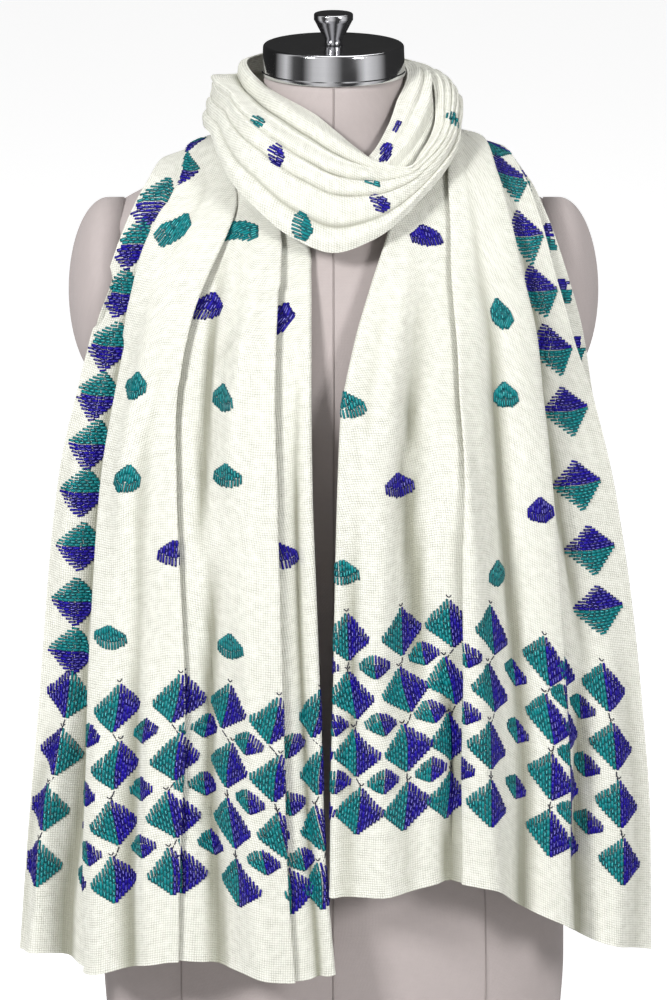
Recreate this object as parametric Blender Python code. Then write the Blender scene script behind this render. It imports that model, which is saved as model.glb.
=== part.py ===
"""A phulkari shawl draped on a limbless dress form, in metres, +Z up, front towards -Y.

The cloth is one long shawl, folded in half lengthwise and wound once round the neck. Each
stretch that shows is its own solid: the two falls, which hang from the nape over the
shoulders to their hems, the loop across the throat, its inner strand and its nape band.
Every stretch is a wall of one cloth thickness through rows or rings worked out from the
tables below, so the folds are real bends of that wall.
"""

import math

import bmesh
import bpy
import numpy as np

# Sizes of the cloth and of the gaps between pieces
WALL = 0.0014
SEAM = 0.0003
FORM_CLEARANCE = 0.0022
LAYER_GAP = 0.0060

# How finely the solids are faceted
HANGING_ROWS = 8
SHOULDER_ROWS = 19
SHOULDER_RUN = 0.44
SPAN_STEPS = 3
FOLD_STEPS = 7
TURN_STEPS = 4
UNDER_STEPS = 7
BASE_STEPS = 40
LOOP_STEPS_ACROSS = 20
STRAND_STEPS_ACROSS = 8
LOOP_DEGREES_PER_STEP = 8.5

# Dress form: cross-sections of the torso from its flat bottom to the top of the neck
TORSO_COLUMNS = ("height", "half_width", "front", "back", "squareness")
TORSO = (
    (0.012, 0.1760, 0.1000, 0.1060, 2.3),
    (0.075, 0.1800, 0.1070, 0.1140, 2.3),
    (0.140, 0.1790, 0.1120, 0.1210, 2.3),
    (0.230, 0.1580, 0.1050, 0.1100, 2.3),
    (0.330, 0.1280, 0.0920, 0.0850, 2.2),
    (0.420, 0.1370, 0.1020, 0.0880, 2.2),
    (0.500, 0.1540, 0.1200, 0.0960, 2.3),
    (0.550, 0.1690, 0.1290, 0.1020, 2.4),
    (0.600, 0.1770, 0.1200, 0.1060, 2.4),
    (0.640, 0.1785, 0.1040, 0.1060, 2.3),
    (0.665, 0.1760, 0.0900, 0.1010, 2.2),
    (0.680, 0.1570, 0.0800, 0.0950, 2.1),
    (0.695, 0.1240, 0.0710, 0.0880, 2.0),
    (0.710, 0.0900, 0.0630, 0.0790, 2.0),
    (0.725, 0.0670, 0.0580, 0.0700, 2.0),
    (0.742, 0.0565, 0.0550, 0.0610, 2.0),
    (0.760, 0.0538, 0.0540, 0.0560, 2.0),
    (0.7762, 0.0532, 0.0532, 0.0535, 2.0),
)
TORSO_RINGS_BELOW = 10
TORSO_RINGS_ABOVE = 20
TORSO_SHOULDER_HEIGHT = 0.530
TORSO_SIDES = 40

SHOULDER_PAD_CENTRE = (0.1730, 0.0000, 0.6080)
SHOULDER_PAD_RADII = (0.0310, 0.0580, 0.0720)
SHOULDER_PAD_SEAM = 0.0007
PAD_SIDES = 18
PAD_RINGS = 11

NECK_CAP_BOTTOM = 0.7765
NECK_CAP_TOP = 0.8000
NECK_CAP_RADIUS = 0.0555
NECK_CAP_TOP_RADIUS = 0.0540
NECK_CAP_ROUNDING = 0.0022
KNOB_TOP = 0.8240
KNOB_RADIUS = 0.0150
KNOB_STEM_RADIUS = 0.0068
TURNED_SIDES = 30

BASE_BOARD_INSET = 0.0040
BASE_BOARD_ROUNDING = 0.0015

# The falls. Each row of a table is one station along a fall, from the hem to the nape.
# run: distance along the fall. outer and inner: the ends of the row. bow: how far the
# middle stands out. front: where the front layer starts, under: where the hidden layer ends,
# both as shares of the row from its outer end, as are the places of the fold edges.
STATION_COLUMNS = (
    "run", "outer_x", "outer_y", "outer_z", "inner_x", "inner_y", "inner_z",
    "bow", "front", "under", "layers",
)
LEFT_STATIONS = (
    (0.00, -0.2398, -0.080, 0.100, 0.0011, -0.148, 0.100, 0.020, 0.00, 0.16, 1.0),
    (0.10, -0.2322, -0.078, 0.200, -0.0065, -0.148, 0.200, 0.020, 0.00, 0.15, 1.0),
    (0.20, -0.2232, -0.075, 0.300, -0.0095, -0.149, 0.300, 0.020, 0.00, 0.13, 1.0),
    (0.30, -0.2150, -0.072, 0.400, -0.0130, -0.149, 0.400, 0.020, 0.00, 0.12, 1.0),
    (0.38, -0.2060, -0.068, 0.480, -0.0157, -0.149, 0.480, 0.018, 0.00, 0.11, 1.0),
    (0.455, -0.1890, -0.060, 0.555, -0.0164, -0.143, 0.555, 0.014, 0.00, 0.10, 1.0),
    (0.51, -0.1748, -0.056, 0.610, -0.0164, -0.125, 0.610, 0.012, 0.00, 0.10, 1.0),
    (0.56, -0.1620, -0.054, 0.655, -0.0170, -0.100, 0.652, 0.006, 0.00, 0.10, 0.9),
    (0.605, -0.1440, -0.034, 0.692, -0.0300, -0.078, 0.692, 0.002, 0.00, 0.10, 0.7),
    (0.66, -0.1290, 0.012, 0.706, -0.0620, -0.020, 0.734, 0.000, 0.00, 0.10, 0.6),
    (0.72, -0.1080, 0.055, 0.702, -0.0600, 0.030, 0.732, 0.000, 0.00, 0.10, 0.6),
    (0.78, -0.0720, 0.088, 0.682, -0.0400, 0.060, 0.728, 0.000, 0.00, 0.10, 0.6),
    (0.83, -0.0260, 0.098, 0.664, -0.0060, 0.074, 0.722, 0.000, 0.00, 0.10, 0.6),
)
RIGHT_STATIONS = (
    (0.00, 0.2429, -0.080, 0.100, -0.0027, -0.152, 0.100, 0.020, 0.00, 0.04, 1.0),
    (0.10, 0.2415, -0.079, 0.200, -0.0020, -0.152, 0.200, 0.020, 0.00, 0.04, 1.0),
    (0.20, 0.2340, -0.076, 0.300, 0.0000, -0.153, 0.300, 0.020, 0.00, 0.04, 1.0),
    (0.28, 0.2253, -0.073, 0.380, 0.0011, -0.153, 0.380, 0.020, 0.00, 0.03, 1.0),
    (0.36, 0.2131, -0.068, 0.460, 0.0025, -0.152, 0.460, 0.018, 0.00, 0.02, 1.0),
    (0.44, 0.1980, -0.060, 0.540, 0.0050, -0.148, 0.540, 0.014, 0.02, 0.00, 1.0),
    (0.49, 0.1900, -0.062, 0.590, 0.0142, -0.136, 0.590, 0.012, 0.07, 0.00, 1.0),
    (0.535, 0.1770, -0.063, 0.637, 0.0279, -0.116, 0.635, 0.008, 0.08, 0.00, 0.9),
    (0.57, 0.1640, -0.054, 0.674, 0.0402, -0.098, 0.670, 0.006, 0.07, 0.00, 0.8),
    (0.605, 0.1500, -0.030, 0.700, 0.0480, -0.078, 0.700, 0.006, 0.06, 0.00, 0.8),
    (0.66, 0.1310, 0.014, 0.714, 0.0630, -0.018, 0.734, 0.004, 0.05, 0.00, 0.7),
    (0.72, 0.1080, 0.055, 0.706, 0.0600, 0.030, 0.732, 0.000, 0.05, 0.00, 0.6),
    (0.78, 0.0720, 0.088, 0.682, 0.0400, 0.060, 0.728, 0.000, 0.05, 0.00, 0.6),
    (0.83, 0.0260, 0.098, 0.664, 0.0060, 0.074, 0.722, 0.000, 0.05, 0.00, 0.6),
)
# Height of each hem, at shares of the row from its outer end
HEM_COLUMNS = ("share", "height")
LEFT_HEM = (
    (0.00, 0.1045), (0.12, 0.1026), (0.245, 0.0967), (0.35, 0.1030),
    (0.50, 0.1118), (0.68, 0.1063), (0.87, 0.0989), (1.00, 0.1036),
)
RIGHT_HEM = (
    (0.00, 0.1041), (0.15, 0.1148), (0.297, 0.1373), (0.408, 0.1527),
    (0.517, 0.1720), (0.636, 0.1760), (0.81, 0.1686), (1.00, 0.1662),
)
HEM_LEVEL = 0.100
HEM_EASE_HEIGHT = 0.555

# Knife folds of the front layers, from the outer edge inwards. outer_on_top: the cloth
# towards the outer edge lies over the rest. For each station height: the share at which the
# fold's edge shows, how far its layers overlap and how high the upper one stands.
FOLD_COLUMNS = ("run", "share", "overlap", "rise")
LEFT_FOLDS = (
    ("border", False, (
        (0.00, 0.245, 0.006, 0.012), (0.07, 0.233, 0.007, 0.012), (0.10, 0.227, 0.011, 0.011),
        (0.155, 0.212, 0.017, 0.010), (0.20, 0.198, 0.021, 0.009), (0.30, 0.200, 0.024, 0.009),
        (0.455, 0.190, 0.024, 0.009), (0.51, 0.185, 0.026, 0.009), (0.56, 0.180, 0.020, 0.009),
        (0.605, 0.230, 0.012, 0.007), (0.66, 0.300, 0.006, 0.006), (0.83, 0.280, 0.004, 0.005),
    )),
    ("middle", True, (
        (0.00, 0.535, 0.0145, 0.0065), (0.20, 0.558, 0.0145, 0.007), (0.38, 0.518, 0.020, 0.009),
        (0.455, 0.481, 0.0245, 0.010), (0.51, 0.504, 0.029, 0.010), (0.56, 0.568, 0.030, 0.010),
        (0.605, 0.640, 0.014, 0.007), (0.66, 0.640, 0.006, 0.006), (0.83, 0.550, 0.004, 0.005),
    )),
    ("inner", True, (
        (0.00, 0.880, 0.0065, 0.006), (0.20, 0.880, 0.006, 0.008), (0.38, 0.880, 0.018, 0.009),
        (0.455, 0.870, 0.022, 0.010), (0.56, 0.860, 0.020, 0.009), (0.605, 0.870, 0.008, 0.007),
        (0.66, 0.880, 0.004, 0.006), (0.83, 0.850, 0.003, 0.005),
    )),
)
RIGHT_FOLDS = (
    ("border", False, (
        (0.00, 0.290, 0.004, 0.009), (0.20, 0.290, 0.006, 0.009), (0.36, 0.275, 0.008, 0.010),
        (0.44, 0.260, 0.012, 0.012), (0.535, 0.280, 0.012, 0.013), (0.605, 0.300, 0.010, 0.011),
        (0.66, 0.320, 0.006, 0.008), (0.83, 0.350, 0.004, 0.005),
    )),
    ("middle", True, (
        (0.00, 0.636, 0.004, 0.006), (0.28, 0.618, 0.005, 0.007), (0.44, 0.584, 0.008, 0.008),
        (0.57, 0.640, 0.008, 0.008), (0.66, 0.680, 0.005, 0.006), (0.83, 0.680, 0.004, 0.005),
    )),
)
FOLD_ADVANCE = 0.0040
FOLD_TAPER = 0.045

# The loop round the neck. angle: 0 at the throat, positive towards +X, in degrees.
# Its upper and lower edges are given by their distance from the neck's axis and height.
RING_COLUMNS = ("angle", "upper_radius", "upper_z", "lower_radius", "lower_z", "bulge")
LOOP_RING = (
    (-180, 0.0690, 0.785, 0.1180, 0.662, 0.010),
    (-150, 0.0690, 0.785, 0.1200, 0.680, 0.012),
    (-120, 0.0720, 0.783, 0.1120, 0.722, 0.011),
    (-95, 0.0640, 0.779, 0.0990, 0.739, 0.009),
    (-70, 0.0545, 0.770, 0.1000, 0.737, 0.010),
    (-56, 0.0540, 0.768, 0.1050, 0.724, 0.012),
    (-35, 0.0560, 0.764, 0.1170, 0.700, 0.015),
    (-15, 0.0600, 0.757, 0.1190, 0.672, 0.014),
    (0, 0.0660, 0.746, 0.1180, 0.661, 0.014),
    (15, 0.0745, 0.731, 0.1190, 0.671, 0.013),
    (24, 0.0830, 0.722, 0.1198, 0.683, 0.012),
    (36, 0.0930, 0.716, 0.1187, 0.702, 0.010),
    (48, 0.0925, 0.731, 0.1136, 0.716, 0.010),
    (60, 0.0885, 0.745, 0.1092, 0.730, 0.008),
    (72, 0.0815, 0.758, 0.1023, 0.744, 0.006),
    (90, 0.0755, 0.771, 0.0985, 0.752, 0.006),
    (112, 0.0715, 0.777, 0.1010, 0.748, 0.008),
    (131, 0.0690, 0.781, 0.1100, 0.724, 0.010),
    (150, 0.0690, 0.784, 0.1190, 0.690, 0.012),
    (180, 0.0690, 0.785, 0.1180, 0.662, 0.010),
)
STRAND_RING = (
    (8, 0.0700, 0.712, 0.0790, 0.703, 0.002),
    (24, 0.0690, 0.726, 0.0850, 0.706, 0.004),
    (40, 0.0635, 0.744, 0.0870, 0.722, 0.005),
    (60, 0.0575, 0.764, 0.0840, 0.740, 0.005),
    (80, 0.0566, 0.774, 0.0780, 0.752, 0.005),
    (104, 0.0563, 0.780, 0.0740, 0.760, 0.004),
    (130, 0.0590, 0.781, 0.0700, 0.764, 0.003),
    (150, 0.0600, 0.780, 0.0690, 0.764, 0.002),
)
# Lengthwise folds of the loop: share is the place between its upper and lower edge, at the
# left, the throat, the right and the nape, and rise is how far each stands out there.
RIDGE_COLUMNS = ("width", "left_share", "throat_share", "right_share", "nape_share",
                 "left_rise", "throat_rise", "right_rise", "nape_rise")
LOOP_RIDGES = (
    (0.060, 0.06, 0.10, 0.16, 0.08, 0.002, 0.004, 0.003, 0.003),
    (0.080, 0.24, 0.22, 0.24, 0.22, -0.006, 0.000, 0.000, -0.002),
    (0.080, 0.46, 0.42, 0.42, 0.42, 0.007, 0.000, 0.000, 0.002),
    (0.050, 0.44, 0.33, 0.34, 0.28, 0.002, 0.004, 0.003, 0.004),
    (0.050, 0.60, 0.50, 0.50, 0.46, 0.004, 0.004, 0.003, 0.004),
    (0.055, 0.74, 0.68, 0.68, 0.66, 0.003, 0.004, 0.003, 0.004),
    (0.060, 0.94, 0.93, 0.90, 0.90, 0.004, 0.005, 0.003, 0.004),
)
STRAND_RIDGES = (
    (0.090, 0.20, 0.20, 0.20, 0.20, 0.000, 0.002, 0.003, 0.002),
    (0.090, 0.55, 0.55, 0.55, 0.55, 0.000, 0.002, 0.003, 0.002),
)
LOOP_FRONT_SPAN = (-128.0, 118.0)
LOOP_SEAM_DEGREES = 0.26

LINEN = (0.60, 0.54, 0.52)
CLOTH = (0.84, 0.84, 0.76)
STEEL = (0.55, 0.55, 0.56)
BOARD = (0.45, 0.33, 0.22)


def clear_scene():
    for old in list(bpy.data.objects):
        bpy.data.objects.remove(old, do_unlink=True)


def material(name, colour, roughness, metallic=0.0):
    made = bpy.data.materials.new(name)
    made.use_nodes = True
    shader = made.node_tree.nodes["Principled BSDF"]
    shader.inputs["Base Color"].default_value = (*colour, 1.0)
    shader.inputs["Roughness"].default_value = roughness
    shader.inputs["Metallic"].default_value = metallic
    return made


def add_mesh(name, points, faces, finish):
    mesh = bpy.data.meshes.new(name)
    mesh.from_pydata([tuple(p) for p in points], [], faces)
    mesh.update()
    mesh.materials.append(finish)
    mesh.shade_smooth()
    made = bpy.data.objects.new(name, mesh)
    bpy.context.scene.collection.objects.link(made)
    return made


def smooth_curve(rows, columns, name, at):
    """Value of a table's column at places along its first column, through every row."""
    knots = np.array([row[0] for row in rows], float)
    values = np.array([row[columns.index(name)] for row in rows], float)
    at = np.clip(np.asarray(at, float), knots[0], knots[-1])
    steps = np.diff(knots)
    slopes = np.diff(values) / steps
    tangents = np.empty_like(values)
    tangents[0] = slopes[0]
    tangents[-1] = slopes[-1]
    both = slopes[:-1] * slopes[1:]
    tangents[1:-1] = np.where(both > 0, 2 * both / (slopes[:-1] + slopes[1:] + 1e-12), 0.0)
    piece = np.clip(np.searchsorted(knots, at, side="right") - 1, 0, len(steps) - 1)
    width = steps[piece]
    share = (at - knots[piece]) / width
    return (
        (2 * share**3 - 3 * share**2 + 1) * values[piece]
        + (share**3 - 2 * share**2 + share) * width * tangents[piece]
        + (3 * share**2 - 2 * share**3) * values[piece + 1]
        + (share**3 - share**2) * width * tangents[piece + 1]
    )


def torso_level(points):
    """1 on the torso's surface, less inside it and more outside."""
    x, y, z = points[..., 0], points[..., 1], points[..., 2]
    half_width = smooth_curve(TORSO, TORSO_COLUMNS, "half_width", z)
    front = smooth_curve(TORSO, TORSO_COLUMNS, "front", z)
    back = smooth_curve(TORSO, TORSO_COLUMNS, "back", z)
    power = smooth_curve(TORSO, TORSO_COLUMNS, "squareness", z)
    depth = np.where(y < 0, front, back)
    sides = (np.abs(x) / half_width) ** power + (np.abs(y) / depth) ** power
    return (sides + 1e-12) ** (1 / power)


def pad_level(points):
    """1 on the surface of the nearer shoulder pad."""
    offset = np.abs(points) * (1, 0, 0) + points * (0, 1, 1) - SHOULDER_PAD_CENTRE
    return np.sqrt(((offset / SHOULDER_PAD_RADII) ** 2).sum(axis=-1) + 1e-12)


def pushed_clear(points, clearance):
    """Points moved straight out of the dress form until they are this far from it."""
    points = np.array(points, float)
    nudge = 2e-4
    for level in (torso_level, pad_level) * 8:
        here = level(points)
        slope = np.stack(
            [(level(points + nudge * axis) - level(points - nudge * axis)) / (2 * nudge)
             for axis in np.eye(3)], axis=-1,
        )
        steepness = np.linalg.norm(slope, axis=-1)
        steepness = np.maximum(steepness, 1e-6)
        distance = (here - 1) / steepness
        short = np.clip(clearance - distance, 0.0, 0.03)
        points += slope * (short / steepness)[..., None]
    return points


def unit(vectors):
    length = np.linalg.norm(vectors, axis=-1, keepdims=True)
    return vectors / np.maximum(length, 1e-12)


def grid_normals(grid):
    """Unit normals of a grid of points, right-handed from its rows to its columns."""
    along = np.gradient(grid, axis=0)
    across = np.gradient(grid, axis=1)
    return unit(np.cross(across, along))


def cloth_wall(name, grid, finish, thickness=WALL):
    """A closed wall of even thickness about a grid of points."""
    rows, columns = grid.shape[:2]
    offset = grid_normals(grid) * (thickness / 2)
    points = np.concatenate([(grid + offset).reshape(-1, 3), (grid - offset).reshape(-1, 3)])
    below = rows * columns
    faces = []
    for i in range(rows - 1):
        for j in range(columns - 1):
            a, b = i * columns + j, i * columns + j + 1
            c, d = a + columns, b + columns
            faces.append((a, b, d, c))
            faces.append((below + a, below + c, below + d, below + b))
    rim = [j for j in range(columns)]
    rim += [i * columns + columns - 1 for i in range(1, rows)]
    rim += [(rows - 1) * columns + j for j in range(columns - 2, -1, -1)]
    rim += [i * columns for i in range(rows - 2, 0, -1)]
    for here, after in zip(rim, rim[1:] + rim[:1]):
        faces.append((here, below + here, below + after, after))
    made = add_mesh(name, points, faces, finish)
    face_outwards(made)
    return made


def face_outwards(made):
    shape = bmesh.new()
    shape.from_mesh(made.data)
    bmesh.ops.recalc_face_normals(shape, faces=shape.faces)
    if shape.calc_volume(signed=True) < 0:
        bmesh.ops.reverse_faces(shape, faces=shape.faces)
    shape.to_mesh(made.data)
    shape.free()


def ease(share):
    """0 to 1 with flat ends."""
    share = np.clip(share, 0.0, 1.0)
    return (1 - np.cos(np.pi * share)) / 2


def base_row(stations, hem, run):
    """The row's own line, from its outer to its inner end, clear of the dress form."""
    column = {name: smooth_curve(stations, STATION_COLUMNS, name, run) for name in STATION_COLUMNS}
    share = np.linspace(0.0, 1.0, BASE_STEPS)
    outer = np.array([column["outer_x"], column["outer_y"], column["outer_z"]])
    inner = np.array([column["inner_x"], column["inner_y"], column["inner_z"]])
    points = outer + (inner - outer) * share[:, None]
    points[:, 1] -= column["bow"] * np.sin(np.pi * share)
    hem_height = smooth_curve(hem, HEM_COLUMNS, "height", share)
    left_over = np.clip((HEM_EASE_HEIGHT - points[:, 2]) / (HEM_EASE_HEIGHT - HEM_LEVEL), 0, 1)
    points[:, 2] += (hem_height - HEM_LEVEL) * left_over
    return pushed_clear(points, FORM_CLEARANCE), column


def fold_sections(folds, run, length, start):
    """Places along the row and rises of the front layer, as lists of (place, rise)."""
    places, rises = [], []
    previous = start
    lift_from = 0.0
    for _, outer_on_top, table in folds:
        edge = length * smooth_curve(table, FOLD_COLUMNS, "share", run)
        overlap = smooth_curve(table, FOLD_COLUMNS, "overlap", run)
        rise = smooth_curve(table, FOLD_COLUMNS, "rise", run)
        swing = (overlap + FOLD_ADVANCE / 2) / 2
        quarter = 0.25 if outer_on_top else 0.75
        side = 1.0 if outer_on_top else -1.0
        first = edge - quarter * FOLD_ADVANCE - side * swing
        span = np.linspace(previous, first, SPAN_STEPS + 1)[:-1]
        lift = lift_from * (1 - ease((span - previous) / FOLD_TAPER))
        if outer_on_top:
            lift = np.maximum(lift, rise * (1 - ease((first - span) / FOLD_TAPER)))
        along = np.linspace(0.0, 1.0, FOLD_STEPS)
        turn = first + FOLD_ADVANCE * along + swing * np.sin(2 * np.pi * along)
        level = rise * (1 - ease(along)) if outer_on_top else rise * ease(along)
        places += [span, turn]
        rises += [lift, level]
        previous = first + FOLD_ADVANCE
        lift_from = 0.0 if outer_on_top else rise
    return places, rises, previous, lift_from


def fall_row(stations, hem, folds, run):
    """Place along the base line and distance out from it, for one whole row of a fall."""
    line, column = base_row(stations, hem, run)
    steps = np.linalg.norm(np.diff(line, axis=0), axis=1)
    reach = np.concatenate([[0.0], np.cumsum(steps)])
    length = reach[-1]
    gap = LAYER_GAP * column["layers"]
    start = column["front"] * length
    places, rises, last, lift_from = fold_sections(folds, run, length, start)
    turn_at = length - gap / 2
    span = np.linspace(last, turn_at, SPAN_STEPS + 1)[:-1]
    places.append(span)
    rises.append(lift_from * (1 - ease((span - last) / FOLD_TAPER)))
    front_places = np.concatenate(places)
    front_rises = np.concatenate(rises) * column["layers"] + gap
    angle = np.linspace(0.0, np.pi, TURN_STEPS)
    turn_places = turn_at + gap / 2 * np.sin(angle)
    turn_rises = gap / 2 * (1 + np.cos(angle))
    under_places = np.linspace(turn_at, column["under"] * length, UNDER_STEPS)[1:]
    under_rises = np.zeros(UNDER_STEPS - 1)
    place = np.concatenate([front_places, turn_places, under_places])
    rise = np.concatenate([front_rises, turn_rises, under_rises])
    return line, reach, place, rise


def fall_grid(stations, hem, folds, side):
    """Grid of points of a whole fall. side is -1 at the left and 1 at the right."""
    hanging = np.linspace(stations[0][0], SHOULDER_RUN, HANGING_ROWS, endpoint=False)
    runs = np.concatenate([hanging, np.linspace(SHOULDER_RUN, stations[-1][0], SHOULDER_ROWS)])
    rows = [fall_row(stations, hem, folds, run) for run in runs]
    lines = np.stack([row[0] for row in rows])
    normals = grid_normals(lines) * -side
    grid = []
    for index, (line, reach, place, rise) in enumerate(rows):
        point = [np.interp(place, reach, line[:, axis]) for axis in range(3)]
        normal = [np.interp(place, reach, normals[index, :, axis]) for axis in range(3)]
        grid.append(np.stack(point, axis=-1) + unit(np.stack(normal, axis=-1)) * rise[:, None])
    return np.stack(grid)


def around(angle, left, throat, right, nape):
    """Blend of four values given at the left, the throat, the right and the nape."""
    turned = np.radians(angle)
    facing = np.stack([
        np.clip(-np.sin(turned), 0, 1), np.clip(np.cos(turned), 0, 1),
        np.clip(np.sin(turned), 0, 1), np.clip(-np.cos(turned), 0, 1),
    ]) ** 2
    return facing[0] * left + facing[1] * throat + facing[2] * right + facing[3] * nape


def ring_grid(ring, ridges, angles, steps):
    """Grid of points of a band round the neck, one row for each angle."""
    share = np.linspace(0.0, 1.0, steps)
    rows = []
    for angle in angles:
        column = {name: smooth_curve(ring, RING_COLUMNS, name, angle) for name in RING_COLUMNS}
        upper = np.array([column["upper_radius"], column["upper_z"]])
        lower = np.array([column["lower_radius"], column["lower_z"]])
        out = unit(np.array([upper[1] - lower[1], lower[0] - upper[0]]))
        rise = column["bulge"] * np.sin(np.pi * share)
        for width, *values in ridges:
            place = around(angle, *values[:4])
            height = around(angle, *values[4:])
            rise = rise + height * np.exp(-(((share - place) / width) ** 2))
        profile = upper + (lower - upper) * share[:, None] + out * rise[:, None]
        turned = math.radians(angle)
        rows.append(np.stack([
            profile[:, 0] * math.sin(turned), -profile[:, 0] * math.cos(turned), profile[:, 1],
        ], axis=-1))
    return np.stack(rows)


def angle_steps(first, last):
    return np.linspace(first, last, 1 + round((last - first) / LOOP_DEGREES_PER_STEP))


def build_falls(cloth):
    left = fall_grid(LEFT_STATIONS, LEFT_HEM, LEFT_FOLDS, -1)
    right = fall_grid(RIGHT_STATIONS, RIGHT_HEM, RIGHT_FOLDS, 1)
    cloth_wall("fall_left", left, cloth)
    cloth_wall("fall_right", right, cloth)


def build_loop(cloth):
    first, last = LOOP_FRONT_SPAN
    front = ring_grid(LOOP_RING, LOOP_RIDGES, angle_steps(first, last), LOOP_STEPS_ACROSS)
    cloth_wall("loop_front", front, cloth)
    back_angles = angle_steps(last + LOOP_SEAM_DEGREES, first + 360 - LOOP_SEAM_DEGREES)
    wrapped = np.where(back_angles > 180, back_angles - 360, back_angles)
    cloth_wall("loop_nape", ring_grid(LOOP_RING, LOOP_RIDGES, wrapped, LOOP_STEPS_ACROSS), cloth)
    inner_angles = angle_steps(STRAND_RING[0][0], STRAND_RING[-1][0])
    strand = ring_grid(STRAND_RING, STRAND_RIDGES, inner_angles, STRAND_STEPS_ACROSS)
    cloth_wall("loop_inner", strand, cloth)


def torso_rings(extra=0.0):
    """Rings of points up the torso, moved out by extra."""
    body = np.linspace(TORSO[0][0], TORSO_SHOULDER_HEIGHT, TORSO_RINGS_BELOW, endpoint=False)
    top = np.linspace(TORSO_SHOULDER_HEIGHT, TORSO[-1][0], TORSO_RINGS_ABOVE)
    heights = np.concatenate([body, top])
    turned = np.linspace(0.0, 2 * np.pi, TORSO_SIDES, endpoint=False)
    rings = []
    for height in heights:
        half_width, front, back, power = (
            smooth_curve(TORSO, TORSO_COLUMNS, name, height) for name in TORSO_COLUMNS[1:]
        )
        depth = np.where(np.sin(turned) < 0, front, back)
        cosine, sine = np.cos(turned), np.sin(turned)
        x = np.sign(cosine) * np.abs(cosine) ** (2 / power) * (half_width + extra)
        y = np.sign(sine) * np.abs(sine) ** (2 / power) * (depth + extra)
        rings.append(np.stack([x, y, np.full_like(x, height)], axis=-1))
    return np.stack(rings)


def closed_rings(name, rings, finish):
    """A solid through rings of points, with flat ends."""
    count, sides = rings.shape[:2]
    faces = [tuple(range(sides - 1, -1, -1)), tuple((count - 1) * sides + i for i in range(sides))]
    for i in range(count - 1):
        for j in range(sides):
            after = (j + 1) % sides
            faces.append((i * sides + j, i * sides + after,
                          (i + 1) * sides + after, (i + 1) * sides + j))
    made = add_mesh(name, rings.reshape(-1, 3), faces, finish)
    face_outwards(made)
    return made


def turned_solid(name, profile, finish):
    """A solid turned about the neck's axis from (radius, height) points, bottom to top."""
    turned = np.linspace(0.0, 2 * np.pi, TURNED_SIDES, endpoint=False)
    circle = np.stack([np.cos(turned), np.sin(turned)], axis=-1)
    rings = [np.concatenate([circle * r, np.full((TURNED_SIDES, 1), z)], axis=1) for r, z in profile]
    return closed_rings(name, np.stack(rings), finish)


def build_form(linen, steel, board):
    closed_rings("torso", torso_rings(), linen)
    cutter = closed_rings("torso_cutter", torso_rings(SHOULDER_PAD_SEAM), linen)
    cutter.hide_render = True
    cutter.display_type = "WIRE"
    for name, side in (("shoulder_pad_left", -1), ("shoulder_pad_right", 1)):
        build_shoulder_pad(name, side, cutter, linen)
    rounding = NECK_CAP_ROUNDING
    corner = [
        (NECK_CAP_TOP_RADIUS - rounding * (1 - math.sin(turn)),
         NECK_CAP_TOP - rounding * (1 - math.cos(turn)))
        for turn in (math.pi / 2, math.pi / 4, 0.0)
    ]
    turned_solid("neck_cap", [(NECK_CAP_RADIUS, NECK_CAP_BOTTOM), *corner], steel)
    knob = [
        (KNOB_STEM_RADIUS, NECK_CAP_TOP + SEAM), (KNOB_STEM_RADIUS * 1.05, NECK_CAP_TOP + 0.003),
        (KNOB_RADIUS * 0.96, KNOB_TOP - 0.0055), (KNOB_RADIUS, KNOB_TOP - 0.0045),
        (KNOB_RADIUS, KNOB_TOP - 0.0010), (KNOB_RADIUS * 0.94, KNOB_TOP),
    ]
    turned_solid("knob", knob, steel)
    build_base_board(board)


def build_shoulder_pad(name, side, cutter, finish):
    shape = bmesh.new()
    bmesh.ops.create_uvsphere(shape, u_segments=PAD_SIDES, v_segments=PAD_RINGS, radius=1.0)
    x, y, z = SHOULDER_PAD_CENTRE
    for vert in shape.verts:
        vert.co.x = side * x + vert.co.x * SHOULDER_PAD_RADII[0]
        vert.co.y = y + vert.co.y * SHOULDER_PAD_RADII[1]
        vert.co.z = z + vert.co.z * SHOULDER_PAD_RADII[2]
    mesh = bpy.data.meshes.new(name)
    shape.to_mesh(mesh)
    shape.free()
    mesh.materials.append(finish)
    mesh.shade_smooth()
    pad = bpy.data.objects.new(name, mesh)
    bpy.context.scene.collection.objects.link(pad)
    cut = pad.modifiers.new("seat on the torso", "BOOLEAN")
    cut.operation = "DIFFERENCE"
    cut.object = cutter


def build_base_board(board):
    bottom = torso_rings()[0]
    scale = 1 - BASE_BOARD_INSET / TORSO[0][1]
    levels = (
        (0.0, BASE_BOARD_ROUNDING), (BASE_BOARD_ROUNDING, 0.0), (TORSO[0][0] - SEAM, 0.0),
    )
    rings = []
    for height, inset in levels:
        ring = bottom * (scale - inset / TORSO[0][1])
        ring[:, 2] = height
        rings.append(ring)
    closed_rings("base_board", np.stack(rings), board)


def main():
    clear_scene()
    cloth = material("cream cotton", CLOTH, 0.85)
    build_form(
        material("linen", LINEN, 0.9),
        material("polished steel", STEEL, 0.18, 1.0),
        material("base board", BOARD, 0.6),
    )
    build_falls(cloth)
    build_loop(cloth)


main()
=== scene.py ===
"""The looks of a phulkari shawl that is draped on a limbless dress form.

Metres, +Z up, front towards -Y, +X to the viewer's right. The shawl is one length of coarse
cream cotton, folded in half lengthwise and wound once round the neck. Its stretches are thin
shells through rows or rings worked out from the tables below, its phulkari is laid stitch by
stitch on them, and the form wears stretched linen under a polished cap and knob.
"""

import math
from dataclasses import dataclass, replace
from enum import Enum

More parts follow.
